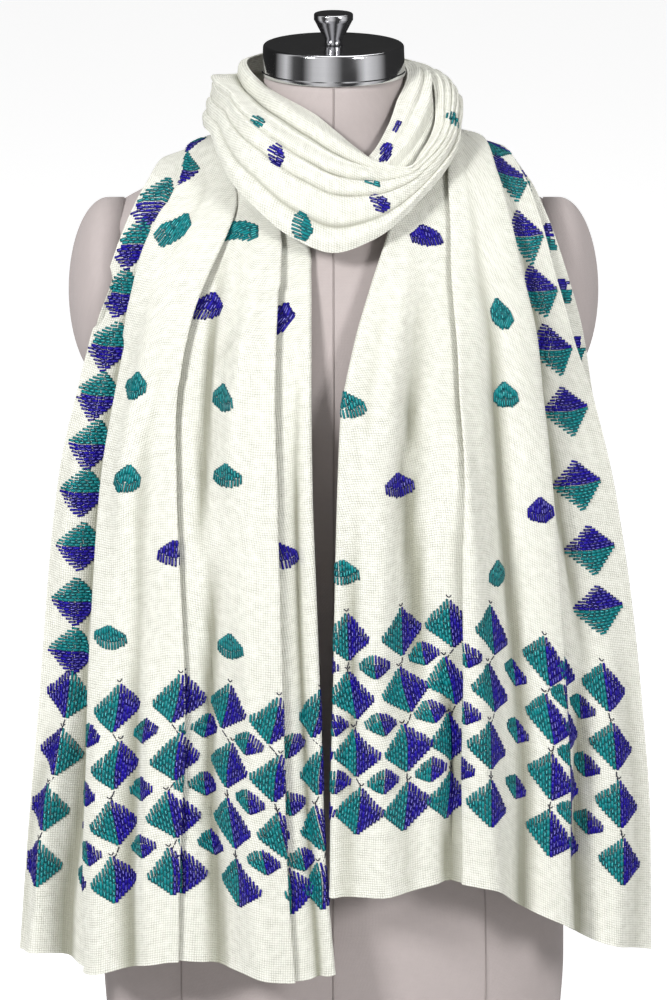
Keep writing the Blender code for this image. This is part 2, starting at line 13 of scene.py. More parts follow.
import bmesh
import bpy
import numpy as np
from bpy.types import ID, Material, Mesh, Node, NodeSocket, NodeTree, Object
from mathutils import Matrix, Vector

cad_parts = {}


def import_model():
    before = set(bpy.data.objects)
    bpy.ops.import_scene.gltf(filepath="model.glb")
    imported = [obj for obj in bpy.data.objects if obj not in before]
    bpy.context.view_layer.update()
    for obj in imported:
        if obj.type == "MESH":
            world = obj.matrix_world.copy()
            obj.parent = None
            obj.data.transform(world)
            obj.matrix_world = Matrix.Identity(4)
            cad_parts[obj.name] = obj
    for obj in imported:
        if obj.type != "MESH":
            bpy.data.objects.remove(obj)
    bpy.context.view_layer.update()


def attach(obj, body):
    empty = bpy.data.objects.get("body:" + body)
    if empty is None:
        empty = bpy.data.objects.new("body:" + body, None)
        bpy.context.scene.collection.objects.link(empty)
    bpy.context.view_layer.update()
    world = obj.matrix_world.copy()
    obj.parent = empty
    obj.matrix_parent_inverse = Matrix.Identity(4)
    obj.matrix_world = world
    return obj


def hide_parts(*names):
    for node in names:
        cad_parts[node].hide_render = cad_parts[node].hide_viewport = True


BODY = "root"
CLOTH_THICKNESS = 0.0009

Colour = tuple[float, float, float]
Point = tuple[float, float, float]
Section = tuple[float, float]


@dataclass(frozen=True)
class Table:
    """Rows of sizes under named columns, read between its rows along a smooth curve."""

    columns: tuple[str, ...]
    rows: tuple[tuple[float, ...], ...]

    def at(self, name: str, where: np.ndarray | float) -> np.ndarray:
        """One column's values at places along the first, with no overshoot between rows."""
        knots = np.array([row[0] for row in self.rows], float)
        values = np.array([row[self.columns.index(name)] for row in self.rows], float)
        where = np.clip(np.asarray(where, float), knots[0], knots[-1])
        steps = np.diff(knots)
        slopes = np.diff(values) / steps
        tangents = np.empty_like(values)
        tangents[0] = slopes[0]
        tangents[-1] = slopes[-1]
        both = slopes[:-1] * slopes[1:]
        safe = slopes[:-1] + slopes[1:] + 1e-12
        tangents[1:-1] = np.where(both > 0, 2 * both / safe, 0.0)
        piece = np.clip(np.searchsorted(knots, where, side="right") - 1, 0, len(steps) - 1)
        width = steps[piece]
        share = (where - knots[piece]) / width
        return (
            (2 * share**3 - 3 * share**2 + 1) * values[piece]
            + (share**3 - 2 * share**2 + share) * width * tangents[piece]
            + (3 * share**2 - 2 * share**3) * values[piece + 1]
            + (share**3 - share**2) * width * tangents[piece + 1]
        )


TORSO = Table(("height", "half_width", "front", "back", "squareness"), (
    (0.012, 0.1760, 0.1000, 0.1060, 2.3),
    (0.075, 0.1800, 0.1070, 0.1140, 2.3),
    (0.140, 0.1790, 0.1120, 0.1210, 2.3),
    (0.230, 0.1580, 0.1050, 0.1100, 2.3),
    (0.330, 0.1280, 0.0920, 0.0850, 2.2),
    (0.420, 0.1370, 0.1020, 0.0880, 2.2),
    (0.500, 0.1540, 0.1200, 0.0960, 2.3),
    (0.550, 0.1690, 0.1290, 0.1020, 2.4),
    (0.600, 0.1770, 0.1200, 0.1060, 2.4),
    (0.640, 0.1785, 0.1040, 0.1060, 2.3),
    (0.665, 0.1760, 0.0900, 0.1010, 2.2),
    (0.680, 0.1570, 0.0800, 0.0950, 2.1),
    (0.695, 0.1240, 0.0710, 0.0880, 2.0),
    (0.710, 0.0900, 0.0630, 0.0790, 2.0),
    (0.725, 0.0670, 0.0580, 0.0700, 2.0),
    (0.742, 0.0565, 0.0550, 0.0610, 2.0),
    (0.760, 0.0538, 0.0540, 0.0560, 2.0),
    (0.7762, 0.0532, 0.0532, 0.0535, 2.0),
))

STATION_COLUMNS = (
    "run", "outer_x", "outer_y", "outer_z", "inner_x", "inner_y", "inner_z",
    "bow", "front", "under", "layers",
)
LEFT_STATIONS = Table(STATION_COLUMNS, (
    (0.00, -0.2398, -0.080, 0.100, 0.0011, -0.148, 0.100, 0.020, 0.00, 0.16, 1.0),
    (0.10, -0.2322, -0.078, 0.200, -0.0065, -0.148, 0.200, 0.020, 0.00, 0.15, 1.0),
    (0.20, -0.2232, -0.075, 0.300, -0.0095, -0.149, 0.300, 0.020, 0.00, 0.13, 1.0),
    (0.30, -0.2150, -0.072, 0.400, -0.0130, -0.149, 0.400, 0.020, 0.00, 0.12, 1.0),
    (0.38, -0.2060, -0.068, 0.480, -0.0157, -0.149, 0.480, 0.018, 0.00, 0.11, 1.0),
    (0.455, -0.1890, -0.060, 0.555, -0.0164, -0.143, 0.555, 0.014, 0.00, 0.10, 1.0),
    (0.51, -0.1748, -0.056, 0.610, -0.0164, -0.125, 0.610, 0.012, 0.00, 0.10, 1.0),
    (0.56, -0.1620, -0.054, 0.655, -0.0170, -0.100, 0.652, 0.006, 0.00, 0.10, 0.9),
    (0.605, -0.1440, -0.034, 0.692, -0.0300, -0.078, 0.692, 0.002, 0.00, 0.10, 0.7),
    (0.66, -0.1290, 0.012, 0.706, -0.0620, -0.020, 0.734, 0.000, 0.00, 0.10, 0.6),
    (0.72, -0.1080, 0.055, 0.702, -0.0600, 0.030, 0.732, 0.000, 0.00, 0.10, 0.6),
    (0.78, -0.0720, 0.088, 0.682, -0.0400, 0.060, 0.728, 0.000, 0.00, 0.10, 0.6),
    (0.83, -0.0260, 0.098, 0.664, -0.0060, 0.074, 0.722, 0.000, 0.00, 0.10, 0.6),
))
RIGHT_STATIONS = Table(STATION_COLUMNS, (
    (0.00, 0.2429, -0.080, 0.100, -0.0027, -0.152, 0.100, 0.020, 0.00, 0.04, 1.0),
    (0.10, 0.2415, -0.079, 0.200, -0.0020, -0.152, 0.200, 0.020, 0.00, 0.04, 1.0),
    (0.20, 0.2340, -0.076, 0.300, 0.0000, -0.153, 0.300, 0.020, 0.00, 0.04, 1.0),
    (0.28, 0.2253, -0.073, 0.380, 0.0011, -0.153, 0.380, 0.020, 0.00, 0.03, 1.0),
    (0.36, 0.2131, -0.068, 0.460, 0.0025, -0.152, 0.460, 0.018, 0.00, 0.02, 1.0),
    (0.44, 0.1980, -0.060, 0.540, 0.0050, -0.148, 0.540, 0.014, 0.02, 0.00, 1.0),
    (0.49, 0.1900, -0.062, 0.590, 0.0142, -0.136, 0.590, 0.012, 0.07, 0.00, 1.0),
    (0.535, 0.1770, -0.063, 0.637, 0.0279, -0.116, 0.635, 0.008, 0.08, 0.00, 0.9),
    (0.57, 0.1640, -0.054, 0.674, 0.0402, -0.098, 0.670, 0.006, 0.07, 0.00, 0.8),
    (0.605, 0.1500, -0.030, 0.700, 0.0480, -0.078, 0.700, 0.006, 0.06, 0.00, 0.8),
    (0.66, 0.1310, 0.014, 0.714, 0.0630, -0.018, 0.734, 0.004, 0.05, 0.00, 0.7),
    (0.72, 0.1080, 0.055, 0.706, 0.0600, 0.030, 0.732, 0.000, 0.05, 0.00, 0.6),
    (0.78, 0.0720, 0.088, 0.682, 0.0400, 0.060, 0.728, 0.000, 0.05, 0.00, 0.6),
    (0.83, 0.0260, 0.098, 0.664, 0.0060, 0.074, 0.722, 0.000, 0.05, 0.00, 0.6),
))

HEM_COLUMNS = ("share", "height")
LEFT_HEM = Table(HEM_COLUMNS, (
    (0.00, 0.1045), (0.12, 0.1026), (0.245, 0.0967), (0.35, 0.1030),
    (0.50, 0.1118), (0.68, 0.1063), (0.87, 0.0989), (1.00, 0.1036),
))
RIGHT_HEM = Table(HEM_COLUMNS, (
    (0.00, 0.1041), (0.15, 0.1148), (0.297, 0.1373), (0.408, 0.1527),
    (0.517, 0.1720), (0.636, 0.1760), (0.81, 0.1686), (1.00, 0.1662),
))

FOLD_COLUMNS = ("run", "share", "overlap", "rise")


@dataclass(frozen=True)
class KnifeFold:
    """A flat fold down a fall. Its table gives, for each height, the place of the edge that
    shows, how far the layers overlap and how high the upper one stands."""

    outer_on_top: bool
    table: Table


LEFT_FOLDS = (
    KnifeFold(False, Table(FOLD_COLUMNS, (
        (0.00, 0.245, 0.006, 0.012), (0.07, 0.233, 0.007, 0.012), (0.10, 0.227, 0.011, 0.011),
        (0.155, 0.216, 0.017, 0.010), (0.20, 0.208, 0.021, 0.009), (0.30, 0.212, 0.024, 0.009),
        (0.455, 0.206, 0.024, 0.009), (0.51, 0.202, 0.026, 0.009), (0.56, 0.190, 0.020, 0.009),
        (0.605, 0.230, 0.012, 0.007), (0.66, 0.300, 0.006, 0.006), (0.83, 0.280, 0.004, 0.005),
    ))),
    KnifeFold(True, Table(FOLD_COLUMNS, (
        (0.00, 0.535, 0.0145, 0.0065), (0.20, 0.558, 0.0145, 0.007), (0.38, 0.518, 0.020, 0.009),
        (0.455, 0.481, 0.0245, 0.010), (0.51, 0.504, 0.029, 0.010), (0.56, 0.568, 0.030, 0.010),
        (0.605, 0.640, 0.014, 0.007), (0.66, 0.640, 0.006, 0.006), (0.83, 0.550, 0.004, 0.005),
    ))),
    KnifeFold(True, Table(FOLD_COLUMNS, (
        (0.00, 0.880, 0.0065, 0.006), (0.20, 0.880, 0.006, 0.008), (0.38, 0.880, 0.018, 0.009),
        (0.455, 0.870, 0.022, 0.010), (0.56, 0.860, 0.020, 0.009), (0.605, 0.870, 0.008, 0.007),
        (0.66, 0.880, 0.004, 0.006), (0.83, 0.850, 0.003, 0.005),
    ))),
)
RIGHT_FOLDS = (
    KnifeFold(False, Table(FOLD_COLUMNS, (
        (0.00, 0.290, 0.004, 0.009), (0.20, 0.290, 0.006, 0.009), (0.36, 0.275, 0.008, 0.010),
        (0.44, 0.260, 0.012, 0.012), (0.535, 0.280, 0.012, 0.013), (0.605, 0.300, 0.010, 0.011),
        (0.66, 0.320, 0.006, 0.008), (0.83, 0.350, 0.004, 0.005),
    ))),
    KnifeFold(True, Table(FOLD_COLUMNS, (
        (0.00, 0.636, 0.004, 0.006), (0.28, 0.618, 0.005, 0.007), (0.44, 0.584, 0.008, 0.008),
        (0.57, 0.640, 0.008, 0.008), (0.66, 0.680, 0.005, 0.006), (0.83, 0.680, 0.004, 0.005),
    ))),
)

# Soft ridges and, with a negative height, troughs of a fall, each from one place to another
CREASE_COLUMNS = (
    "run_from", "share_from", "width_from", "run_to", "share_to", "width_to", "height",
)
LEFT_CREASES = (
    (-0.01, 0.140, 0.048, 0.260, 0.190, 0.022, -0.0120),
    (-0.01, 0.040, 0.026, 0.230, 0.120, 0.026, 0.0075),
    (-0.01, 0.300, 0.050, 0.260, 0.280, 0.040, 0.0060),
    (-0.01, 0.460, 0.050, 0.300, 0.430, 0.040, 0.0070),
    (-0.01, 0.640, 0.046, 0.360, 0.625, 0.028, -0.0120),
    (-0.01, 0.790, 0.050, 0.400, 0.760, 0.050, 0.0080),
    (-0.01, 0.955, 0.026, 0.580, 0.945, 0.026, -0.0085),
    (0.150, 0.168, 0.026, 0.620, 0.150, 0.028, -0.0090),
    (0.250, 0.070, 0.035, 0.450, 0.070, 0.035, 0.0040),
    (0.280, 0.330, 0.050, 0.580, 0.340, 0.045, 0.0075),
    (0.300, 0.590, 0.032, 0.580, 0.580, 0.028, -0.0060),
    (0.340, 0.720, 0.050, 0.580, 0.740, 0.050, 0.0080),
)
RIGHT_CREASES = (
    (-0.01, 0.560, 0.050, 0.560, 0.620, 0.036, 0.0090),
    (0.130, 0.755, 0.058, 0.520, 0.740, 0.040, -0.0125),
    (-0.01, 0.860, 0.045, 0.480, 0.880, 0.045, 0.0090),
    (-0.01, 0.965, 0.026, 0.420, 0.960, 0.026, -0.0060),
    (-0.01, 0.660, 0.026, 0.260, 0.650, 0.022, -0.0100),
    (-0.01, 0.420, 0.040, 0.540, 0.440, 0.036, -0.0080),
    (-0.01, 0.235, 0.036, 0.240, 0.225, 0.030, -0.0120),
    (-0.01, 0.120, 0.045, 0.300, 0.110, 0.045, 0.0070),
    (0.200, 0.205, 0.026, 0.640, 0.235, 0.026, -0.0080),
    (0.380, 0.820, 0.050, 0.580, 0.860, 0.050, 0.0070),
)

RING_COLUMNS = ("angle", "upper_radius", "upper_z", "lower_radius", "lower_z", "bulge")
LOOP_RING = Table(RING_COLUMNS, (
    (-180, 0.0690, 0.785, 0.1180, 0.662, 0.010),
    (-150, 0.0690, 0.785, 0.1200, 0.680, 0.012),
    (-120, 0.0720, 0.783, 0.1120, 0.722, 0.011),
    (-95, 0.0640, 0.779, 0.0990, 0.739, 0.009),
    (-70, 0.0545, 0.770, 0.1000, 0.737, 0.010),
    (-56, 0.0540, 0.768, 0.1050, 0.724, 0.012),
    (-35, 0.0560, 0.764, 0.1170, 0.700, 0.015),
    (-15, 0.0600, 0.757, 0.1190, 0.672, 0.014),
    (0, 0.0660, 0.746, 0.1180, 0.661, 0.014),
    (15, 0.0745, 0.731, 0.1190, 0.671, 0.013),
    (24, 0.0830, 0.722, 0.1198, 0.683, 0.012),
    (36, 0.0930, 0.716, 0.1187, 0.702, 0.010),
    (48, 0.0925, 0.731, 0.1136, 0.716, 0.010),
    (60, 0.0885, 0.745, 0.1092, 0.730, 0.008),
    (72, 0.0815, 0.758, 0.1023, 0.744, 0.006),
    (90, 0.0755, 0.771, 0.0985, 0.752, 0.006),
    (112, 0.0715, 0.777, 0.1010, 0.748, 0.008),
    (131, 0.0690, 0.781, 0.1100, 0.724, 0.010),
    (150, 0.0690, 0.784, 0.1190, 0.690, 0.012),
    (180, 0.0690, 0.785, 0.1180, 0.662, 0.010),
))
STRAND_RING = Table(RING_COLUMNS, (
    (8, 0.0700, 0.712, 0.0790, 0.703, 0.002),
    (24, 0.0690, 0.726, 0.0870, 0.704, 0.005),
    (40, 0.0635, 0.744, 0.0905, 0.716, 0.007),
    (60, 0.0575, 0.764, 0.0868, 0.738, 0.009),
    (80, 0.0566, 0.774, 0.0775, 0.756, 0.009),
    (104, 0.0563, 0.780, 0.0735, 0.765, 0.006),
    (130, 0.0590, 0.781, 0.0700, 0.764, 0.003),
    (150, 0.0600, 0.780, 0.0690, 0.764, 0.002),
))
# Lengthwise ridges of the loop. For each side of the neck: the ridge's place between the
# loop's upper and lower edge, then how far it stands out.
RIDGE_COLUMNS = (
    "width", "left_share", "throat_share", "right_share", "nape_share",
    "left_rise", "throat_rise", "right_rise", "nape_rise",
)
LOOP_RIDGES = (
    (0.060, 0.06, 0.10, 0.16, 0.08, 0.002, 0.004, 0.002, 0.003),
    (0.080, 0.24, 0.22, 0.24, 0.22, -0.006, 0.000, 0.000, -0.002),
    (0.080, 0.46, 0.42, 0.42, 0.42, 0.007, 0.000, 0.000, 0.002),
    (0.050, 0.44, 0.33, 0.36, 0.28, 0.000, 0.003, 0.001, 0.004),
    (0.055, 0.60, 0.50, 0.52, 0.46, 0.000, 0.002, 0.001, 0.004),
    (0.060, 0.76, 0.68, 0.68, 0.66, 0.001, 0.002, 0.001, 0.004),
    (0.060, 0.94, 0.93, 0.90, 0.90, 0.002, 0.004, 0.002, 0.004),
)
LOOP_CREASES = (
    (0.020, 0.24, 0.205, 0.26, 0.20, -0.003, -0.0034, -0.0004, -0.002),
    (0.013, 0.31, 0.255, 0.30, 0.36, 0.000, 0.0020, 0.0000, 0.001),
    (0.018, 0.50, 0.400, 0.46, 0.38, -0.002, -0.0034, -0.0028, -0.002),
    (0.012, 0.55, 0.440, 0.50, 0.42, 0.000, 0.0018, 0.0000, 0.001),
    (0.018, 0.68, 0.560, 0.62, 0.56, -0.001, -0.0030, -0.0004, -0.002),
    (0.012, 0.72, 0.600, 0.66, 0.60, 0.000, 0.0014, 0.0000, 0.001),
    (0.024, 0.84, 0.800, 0.80, 0.78, -0.001, -0.0024, -0.0022, -0.002),
)
STRAND_RIDGES = (
    (0.090, 0.20, 0.20, 0.20, 0.20, 0.000, 0.002, 0.003, 0.002),
    (0.090, 0.55, 0.55, 0.55, 0.55, 0.000, 0.002, 0.003, 0.002),
)
STRAND_CREASES = (
    (0.050, 0.38, 0.38, 0.38, 0.38, 0.000, -0.0012, -0.0020, -0.001),
    (0.050, 0.76, 0.76, 0.76, 0.76, 0.000, -0.0010, -0.0016, -0.001),
)


def unit(vectors: np.ndarray) -> np.ndarray:
    """Vectors scaled to length 1."""
    length = np.linalg.norm(vectors, axis=-1, keepdims=True)
    return vectors / np.maximum(length, 1e-12)


def ease(share: np.ndarray | float) -> np.ndarray:
    """0 to 1 with flat ends."""
    return (1 - np.cos(np.pi * np.clip(share, 0.0, 1.0))) / 2


def grid_normals(grid: np.ndarray) -> np.ndarray:
    """Unit normals of a grid of points, right-handed from its rows to its columns."""
    along = np.gradient(grid, axis=0)
    across = np.gradient(grid, axis=1)
    return unit(np.cross(across, along))


def lengths_along(grid: np.ndarray, axis: int) -> np.ndarray:
    """Distance from the first row or column of a grid, for every point of it."""
    steps = np.linalg.norm(np.diff(grid, axis=axis), axis=-1)
    start = np.zeros_like(np.take(steps, [0], axis=axis))
    return np.concatenate([start, np.cumsum(steps, axis=axis)], axis=axis)


def along_line(where: np.ndarray, reach: np.ndarray, line: np.ndarray) -> np.ndarray:
    """Points of a line at distances along it, from the distances of its own points."""
    return np.stack([np.interp(where, reach, line[:, axis]) for axis in range(3)], axis=-1)


def trough_depths(grid: np.ndarray, facing: float) -> np.ndarray:
    """How deep each point of a cloth lies in a trough, from 0 to 1.

    Args:
        grid: Points of the cloth's middle, rows by columns.
        facing: 1 where the grid's normals point out of the cloth's face, else -1.
    """
    step, side, shallow, deep = 0.002, 9, 0.0004, 0.0034
    weights = np.full(2 * side + 1, 1 / (2 * side + 1))
    normals = grid_normals(grid) * facing
    sunk = np.zeros(grid.shape[:2])
    for row, reach in enumerate(lengths_along(grid, 1)):
        even = np.arange(0.0, reach[-1], step)
        line = np.pad(along_line(even, reach, grid[row]), ((side, side), (0, 0)), mode="edge")
        mean = np.stack([np.convolve(part, weights, "valid") for part in line.T], axis=-1)
        sunk[row] = ((along_line(reach, even, mean) - grid[row]) * normals[row]).sum(axis=-1)
    return np.clip((sunk - shallow) / (deep - shallow), 0.0, 1.0)


def place_object(name: str, data: ID) -> Object:
    """Puts a mesh, lamp or camera into the scene."""
    made = bpy.data.objects.new(name, data)
    bpy.context.scene.collection.objects.link(made)
    return made


def add_mesh(
    name: str,
    points: np.ndarray,
    faces: list[tuple[int, ...]],
    finish: Material,
    places: np.ndarray | None = None,
    depths: np.ndarray | None = None,
) -> Object:
    """Makes a smooth mesh object at the origin.

    Args:
        name: The piece's name.
        points: Its points, in metres.
        faces: Its faces, as indices of points.
        finish: Its material.
        places: For each point, its place on the cloth in metres, kept as a UV map.
        depths: For each point, how deep it lies in a trough, kept as a second UV map.
    """
    mesh = bpy.data.meshes.new(name)
    mesh.from_pydata(points.reshape(-1, 3).tolist(), [], faces)
    mesh.update()
    mesh.materials.append(finish)
    mesh.shade_smooth()
    corners = np.empty(len(mesh.loops), np.int32)
    mesh.loops.foreach_get("vertex_index", corners)
    for layer_name, values in (("cloth", places), ("troughs", depths)):
        if values is not None:
            layer = mesh.uv_layers.new(name=layer_name)
            at_corners = values.reshape(-1, 2)[corners].astype(np.float32)
            layer.data.foreach_set("uv", at_corners.ravel())
    return place_object(name, mesh)


def face_outwards(made: Object) -> None:
    """Turns a closed mesh's faces outwards."""
    shape = bmesh.new()
    shape.from_mesh(made.data)
    bmesh.ops.recalc_face_normals(shape, faces=shape.faces)
    if shape.calc_volume(signed=True) < 0:
        bmesh.ops.reverse_faces(shape, faces=shape.faces)
    shape.to_mesh(made.data)
    shape.free()


def cloth_shell(
    name: str,
    grid: np.ndarray,
    thickness: np.ndarray | float,
    finish: Material,
    places: np.ndarray,
    facing: float,
) -> Object:
    """Makes a closed thin shell about a grid of points.

    Args:
        name: The piece's name.
        grid: Points of the cloth's middle, rows by columns.
        thickness: The cloth's thickness, one value or one for each point.
        finish: The cloth's material.
        places: Each point's place on the flat cloth.
        facing: 1 where the grid's normals point out of the cloth's face, else -1.
    """
    rows, columns = grid.shape[:2]
    half = np.broadcast_to(np.asarray(thickness, float) / 2, (rows, columns))[..., None]
    offset = grid_normals(grid) * half
    points = np.concatenate([(grid + offset).reshape(-1, 3), (grid - offset).reshape(-1, 3)])
    below = rows * columns
    corner = (np.arange(rows - 1)[:, None] * columns + np.arange(columns - 1)).ravel()
    front = np.stack([corner, corner + 1, corner + columns + 1, corner + columns], axis=-1)
    back = np.stack([corner, corner + columns, corner + columns + 1, corner + 1], axis=-1) + below
    rim = list(range(columns))
    rim += [i * columns + columns - 1 for i in range(1, rows)]
    rim += [(rows - 1) * columns + j for j in range(columns - 2, -1, -1)]
    rim += [i * columns for i in range(rows - 2, 0, -1)]
    edge = [(a, below + a, below + b, b) for a, b in zip(rim, rim[1:] + rim[:1])]
    faces = front.tolist() + back.tolist() + edge
    flat = places.reshape(-1, 2)
    # How deep each point lies in a trough, kept for the cotton's painted shade.
    sunk = np.repeat(trough_depths(grid, facing).reshape(-1, 1), 2, axis=1)
    made = add_mesh(
        name, points, faces, finish, np.concatenate([flat, flat]), np.concatenate([sunk, sunk]),
    )
    face_outwards(made)
    made.data.set_sharp_from_angle(angle=math.radians(60))
    return made


def finish_piece(made: Object, slot: str, *nodes: str) -> None:
    """Rides a piece on the part's body and hides the imported parts that it stands in for."""
    if nodes:
        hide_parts(*nodes)
    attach(made, BODY)


Feeds = dict[str | int, object]


class NodeWriter:
    """Adds nodes to one tree and joins them."""

    def __init__(self, tree: NodeTree) -> None:
        """Starts on a tree."""
        self.tree = tree

    def feed(self, node: Node, feeds: Feeds) -> None:
        """Joins outputs to a node's inputs, by name or number, or sets the inputs' values."""
        for key, value in feeds.items():
            socket = node.inputs[key]
            if isinstance(value, NodeSocket):
                self.tree.links.new(value, socket)
            else:
                socket.default_value = (*value, 1.0) if socket.type == "RGBA" else value

    def add(self, kind: str, feeds: Feeds | None = None, **settings: object) -> Node:
        """Adds a node with those settings and feeds it."""
        node = self.tree.nodes.new(kind)
        for name, value in settings.items():
            setattr(node, name, value)
        self.feed(node, feeds or {})
        return node

    def first(self, kind: str, feeds: Feeds | None = None, **settings: object) -> NodeSocket:
        """Adds a node and gives its first output."""
        return self.add(kind, feeds, **settings).outputs[0]

    def parts(self, vector: object) -> object:
        """The three numbers of a vector."""
        return self.add("ShaderNodeSeparateXYZ", {0: vector}).outputs

    def math(self, operation: str, *values: object, clamp: bool = False) -> NodeSocket:
        """A number worked out from others."""
        numbers = dict(enumerate(values))
        return self.first("ShaderNodeMath", numbers, operation=operation, use_clamp=clamp)

    def times(self, first: object, second: object, clamp: bool = False) -> NodeSocket:
        """Two numbers multiplied."""
        return self.math("MULTIPLY", first, second, clamp=clamp)

    def mix(self, share: object, first: object, second: object) -> NodeSocket:
        """A colour between two."""
        colours = {0: share, 6: first, 7: second}
        return self.add("ShaderNodeMix", colours, data_type="RGBA").outputs[2]

    def blend(self, share: object, first: object, second: object) -> NodeSocket:
        """A number between two."""
        return self.first("ShaderNodeMix", {0: share, 2: first, 3: second}, data_type="FLOAT")

    def noise(
        self, vector: object, scale: float, detail: float, stretch: Point | None = None
    ) -> NodeSocket:
        """Smooth noise from 0 to 1, which may be stretched along its axes."""
        if stretch:
            vector = self.first("ShaderNodeMapping", {"Vector": vector, "Scale": stretch})
        feeds = {"Vector": vector, "Scale": scale, "Detail": detail}
        return self.first("ShaderNodeTexNoise", feeds)

    def mirror_switch(self, usual: object, mirrored: object, output: Node) -> None:
        """Shows one shader to mirror reflections and another to everything else."""
        glossy = self.add("ShaderNodeLightPath").outputs["Is Glossy Ray"]
        pick = self.first("ShaderNodeMixShader", {0: glossy, 1: usual, 2: mirrored})
        self.feed(output, {"Surface": pick})


def start_group(
    name: str, kind: str, takes: dict[str, str], gives: dict[str, str]
) -> tuple[NodeTree, NodeWriter, object, Node]:
    """A new node group, with the name and kind of each socket that it takes and gives.

    Returns:
        The group, its writer, what comes in and the node that takes the results.
    """
    tree = bpy.data.node_groups.new(name, kind)
    for way, sockets in (("INPUT", takes), ("OUTPUT", gives)):
        for socket, holds in sockets.items():
            tree.interface.new_socket(socket, in_out=way, socket_type=f"NodeSocket{holds}")
    write = NodeWriter(tree)
    return tree, write, write.add("NodeGroupInput").outputs, write.add("NodeGroupOutput")


def weave_group() -> NodeTree:
    """The shared plain weave: threads that pass over and under each other, and slubs."""
    tree, write, given, out = start_group(
        "plain weave", "ShaderNodeTree",
        {"Place": "Vector", "Threads per metre": "Float", "Slub": "Float"},
        {"Height": "Float", "Gap": "Float", "Tone": "Float"},
    )
    drift_by, quiver_by = 0.9, 0.45
    crown_power, dip_by = 0.45, 0.45
    open_from, open_gain = 0.10, 1.7

    def patches(scale: float, detail: float, *stretch: float) -> NodeSocket:
        return write.noise(given["Place"], scale, detail, (*stretch, 1.0))

    def about_zero(value: object, reach: object) -> NodeSocket:
        return write.times(write.math("SUBTRACT", value, 0.5), reach)

    place = write.parts(given["Place"])
    threads, crowns = [], []
    for axis, stretch in enumerate(((40.0, 9.0), (9.0, 40.0))):
        drift = about_zero(patches(1.0, 1.0, *stretch), drift_by)
        quiver = about_zero(patches(1.0 + axis, 2.0, 150.0, 150.0), quiver_by)
        count = write.times(place[axis], given["Threads per metre"])
        count = write.math("ADD", count, write.math("ADD", drift, quiver))
        threads.append(write.math("FLOOR", count))
        crowns.append(write.math("ABSOLUTE", write.math("SINE", write.times(count, math.pi))))
    weft_over = write.math("PINGPONG", write.math("ADD", *threads), 1.0)
    over = []
    for top, under in (crowns, crowns[::-1]):
        dip = write.math("ADD", write.times(under, dip_by), 1.0 - dip_by)
        over.append(write.times(write.math("POWER", top, crown_power), dip))
    height = write.blend(weft_over, *over)
    slub = write.blend(weft_over, patches(1.0, 2.0, 260.0, 12.0), patches(1.0, 2.0, 12.0, 260.0))
    uneven = write.math("ADD", about_zero(slub, given["Slub"]), 1.0)
    open_here = write.math("SUBTRACT", patches(1.0, 3.0, 160.0, 160.0), open_from)
    open_here = write.times(open_here, open_gain, clamp=True)
    gap = write.math("SUBTRACT", 1.0, height, clamp=True)
    write.feed(out, {
        "Height": write.times(height, uneven), "Gap": write.times(gap, open_here), "Tone": slub,
    })
    return tree


def wood_group() -> NodeTree:
    """The shared wood grain of the base board."""
    tree, write, given, out = start_group(
        "board grain", "ShaderNodeTree", {"Place": "Vector"}, {"Grain": "Float"}
    )
    rings = write.times(write.noise(given["Place"], 1.0, 4.0, (6.0, 70.0, 70.0)), 0.75)
    pores = write.times(write.noise(given["Place"], 1.0, 2.0, (40.0, 900.0, 900.0)), 0.25)
    write.feed(out, {"Grain": write.math("ADD", rings, pores)})
    return tree


class Groups:
    """The shader groups that several finishes share, each made once."""

    def __init__(self) -> None:
        """Makes them."""
        self.weave = weave_group()
        self.wood = wood_group()


@dataclass(frozen=True)
class Finish:
    """What every material has: its name and its roughness."""

    name: str
    roughness: float

    def start(self) -> tuple[Material, NodeWriter, Node]:
        """A new material with its writer and its Principled shader."""
        made = bpy.data.materials.new(self.name)
        made.use_nodes = True
        write = NodeWriter(made.node_tree)
        shader = made.node_tree.nodes["Principled BSDF"]
        write.feed(shader, {"Roughness": self.roughness})
        return made, write, shader


def bumped(write: NodeWriter, height: object, depth: float) -> NodeSocket:
    """A surface's normal with a relief of that depth."""
    relief = {"Strength": 1.0, "Distance": depth, "Height": height}
    return write.first("ShaderNodeBump", relief)


@dataclass(frozen=True)
class WovenFinish(Finish):
    """A plain-woven cloth: its thread and gap colours, thread count and relief, and the shade
    painted into its troughs.
    """

    thread: Colour
    gap: Colour
    threads_per_metre: float
    gap_share: float
    relief: float
    slub: float = 0.5
    sheen: float = 0.12
    stain: Colour = (0.5, 0.5, 0.5)
    stain_share: float = 0.0
    stains_per_metre: float = 9.0
    tone_share: float = 0.16
    painted_trough_shade: float = 0.0

    def build(self, groups: Groups) -> Material:
        """Makes the material from the shared weave."""
        made, write, shader = self.start()
        place = write.first("ShaderNodeUVMap", uv_map="cloth")
        weave = write.add("ShaderNodeGroup", {
            "Place": place, "Threads per metre": self.threads_per_metre, "Slub": self.slub,
        }, node_tree=groups.weave).outputs
        share = write.times(weave["Gap"], self.gap_share, clamp=True)
        colour = write.mix(share, self.thread, self.gap)
        colour = write.mix(write.times(weave["Tone"], self.tone_share), colour, self.gap)
        patch = write.noise(place, self.stains_per_metre, 3.0)
        colour = write.mix(write.times(patch, self.stain_share, clamp=True), colour, self.stain)
        # Painted shade: the cloth's colour darkens towards its gap colour where it lies deep in a
        # trough, on top of the shading that the lights give.
        if self.painted_trough_shade:
            sunk = write.parts(write.first("ShaderNodeUVMap", uv_map="troughs"))
            colour = write.mix(write.times(sunk[0], self.painted_trough_shade), colour, self.gap)
        write.feed(shader, {
            "Base Color": colour, "Sheen Weight": self.sheen, "Sheen Roughness": 0.5,
            "Specular IOR Level": 0.25, "Normal": bumped(write, weave["Height"], self.relief),
        })
        return made


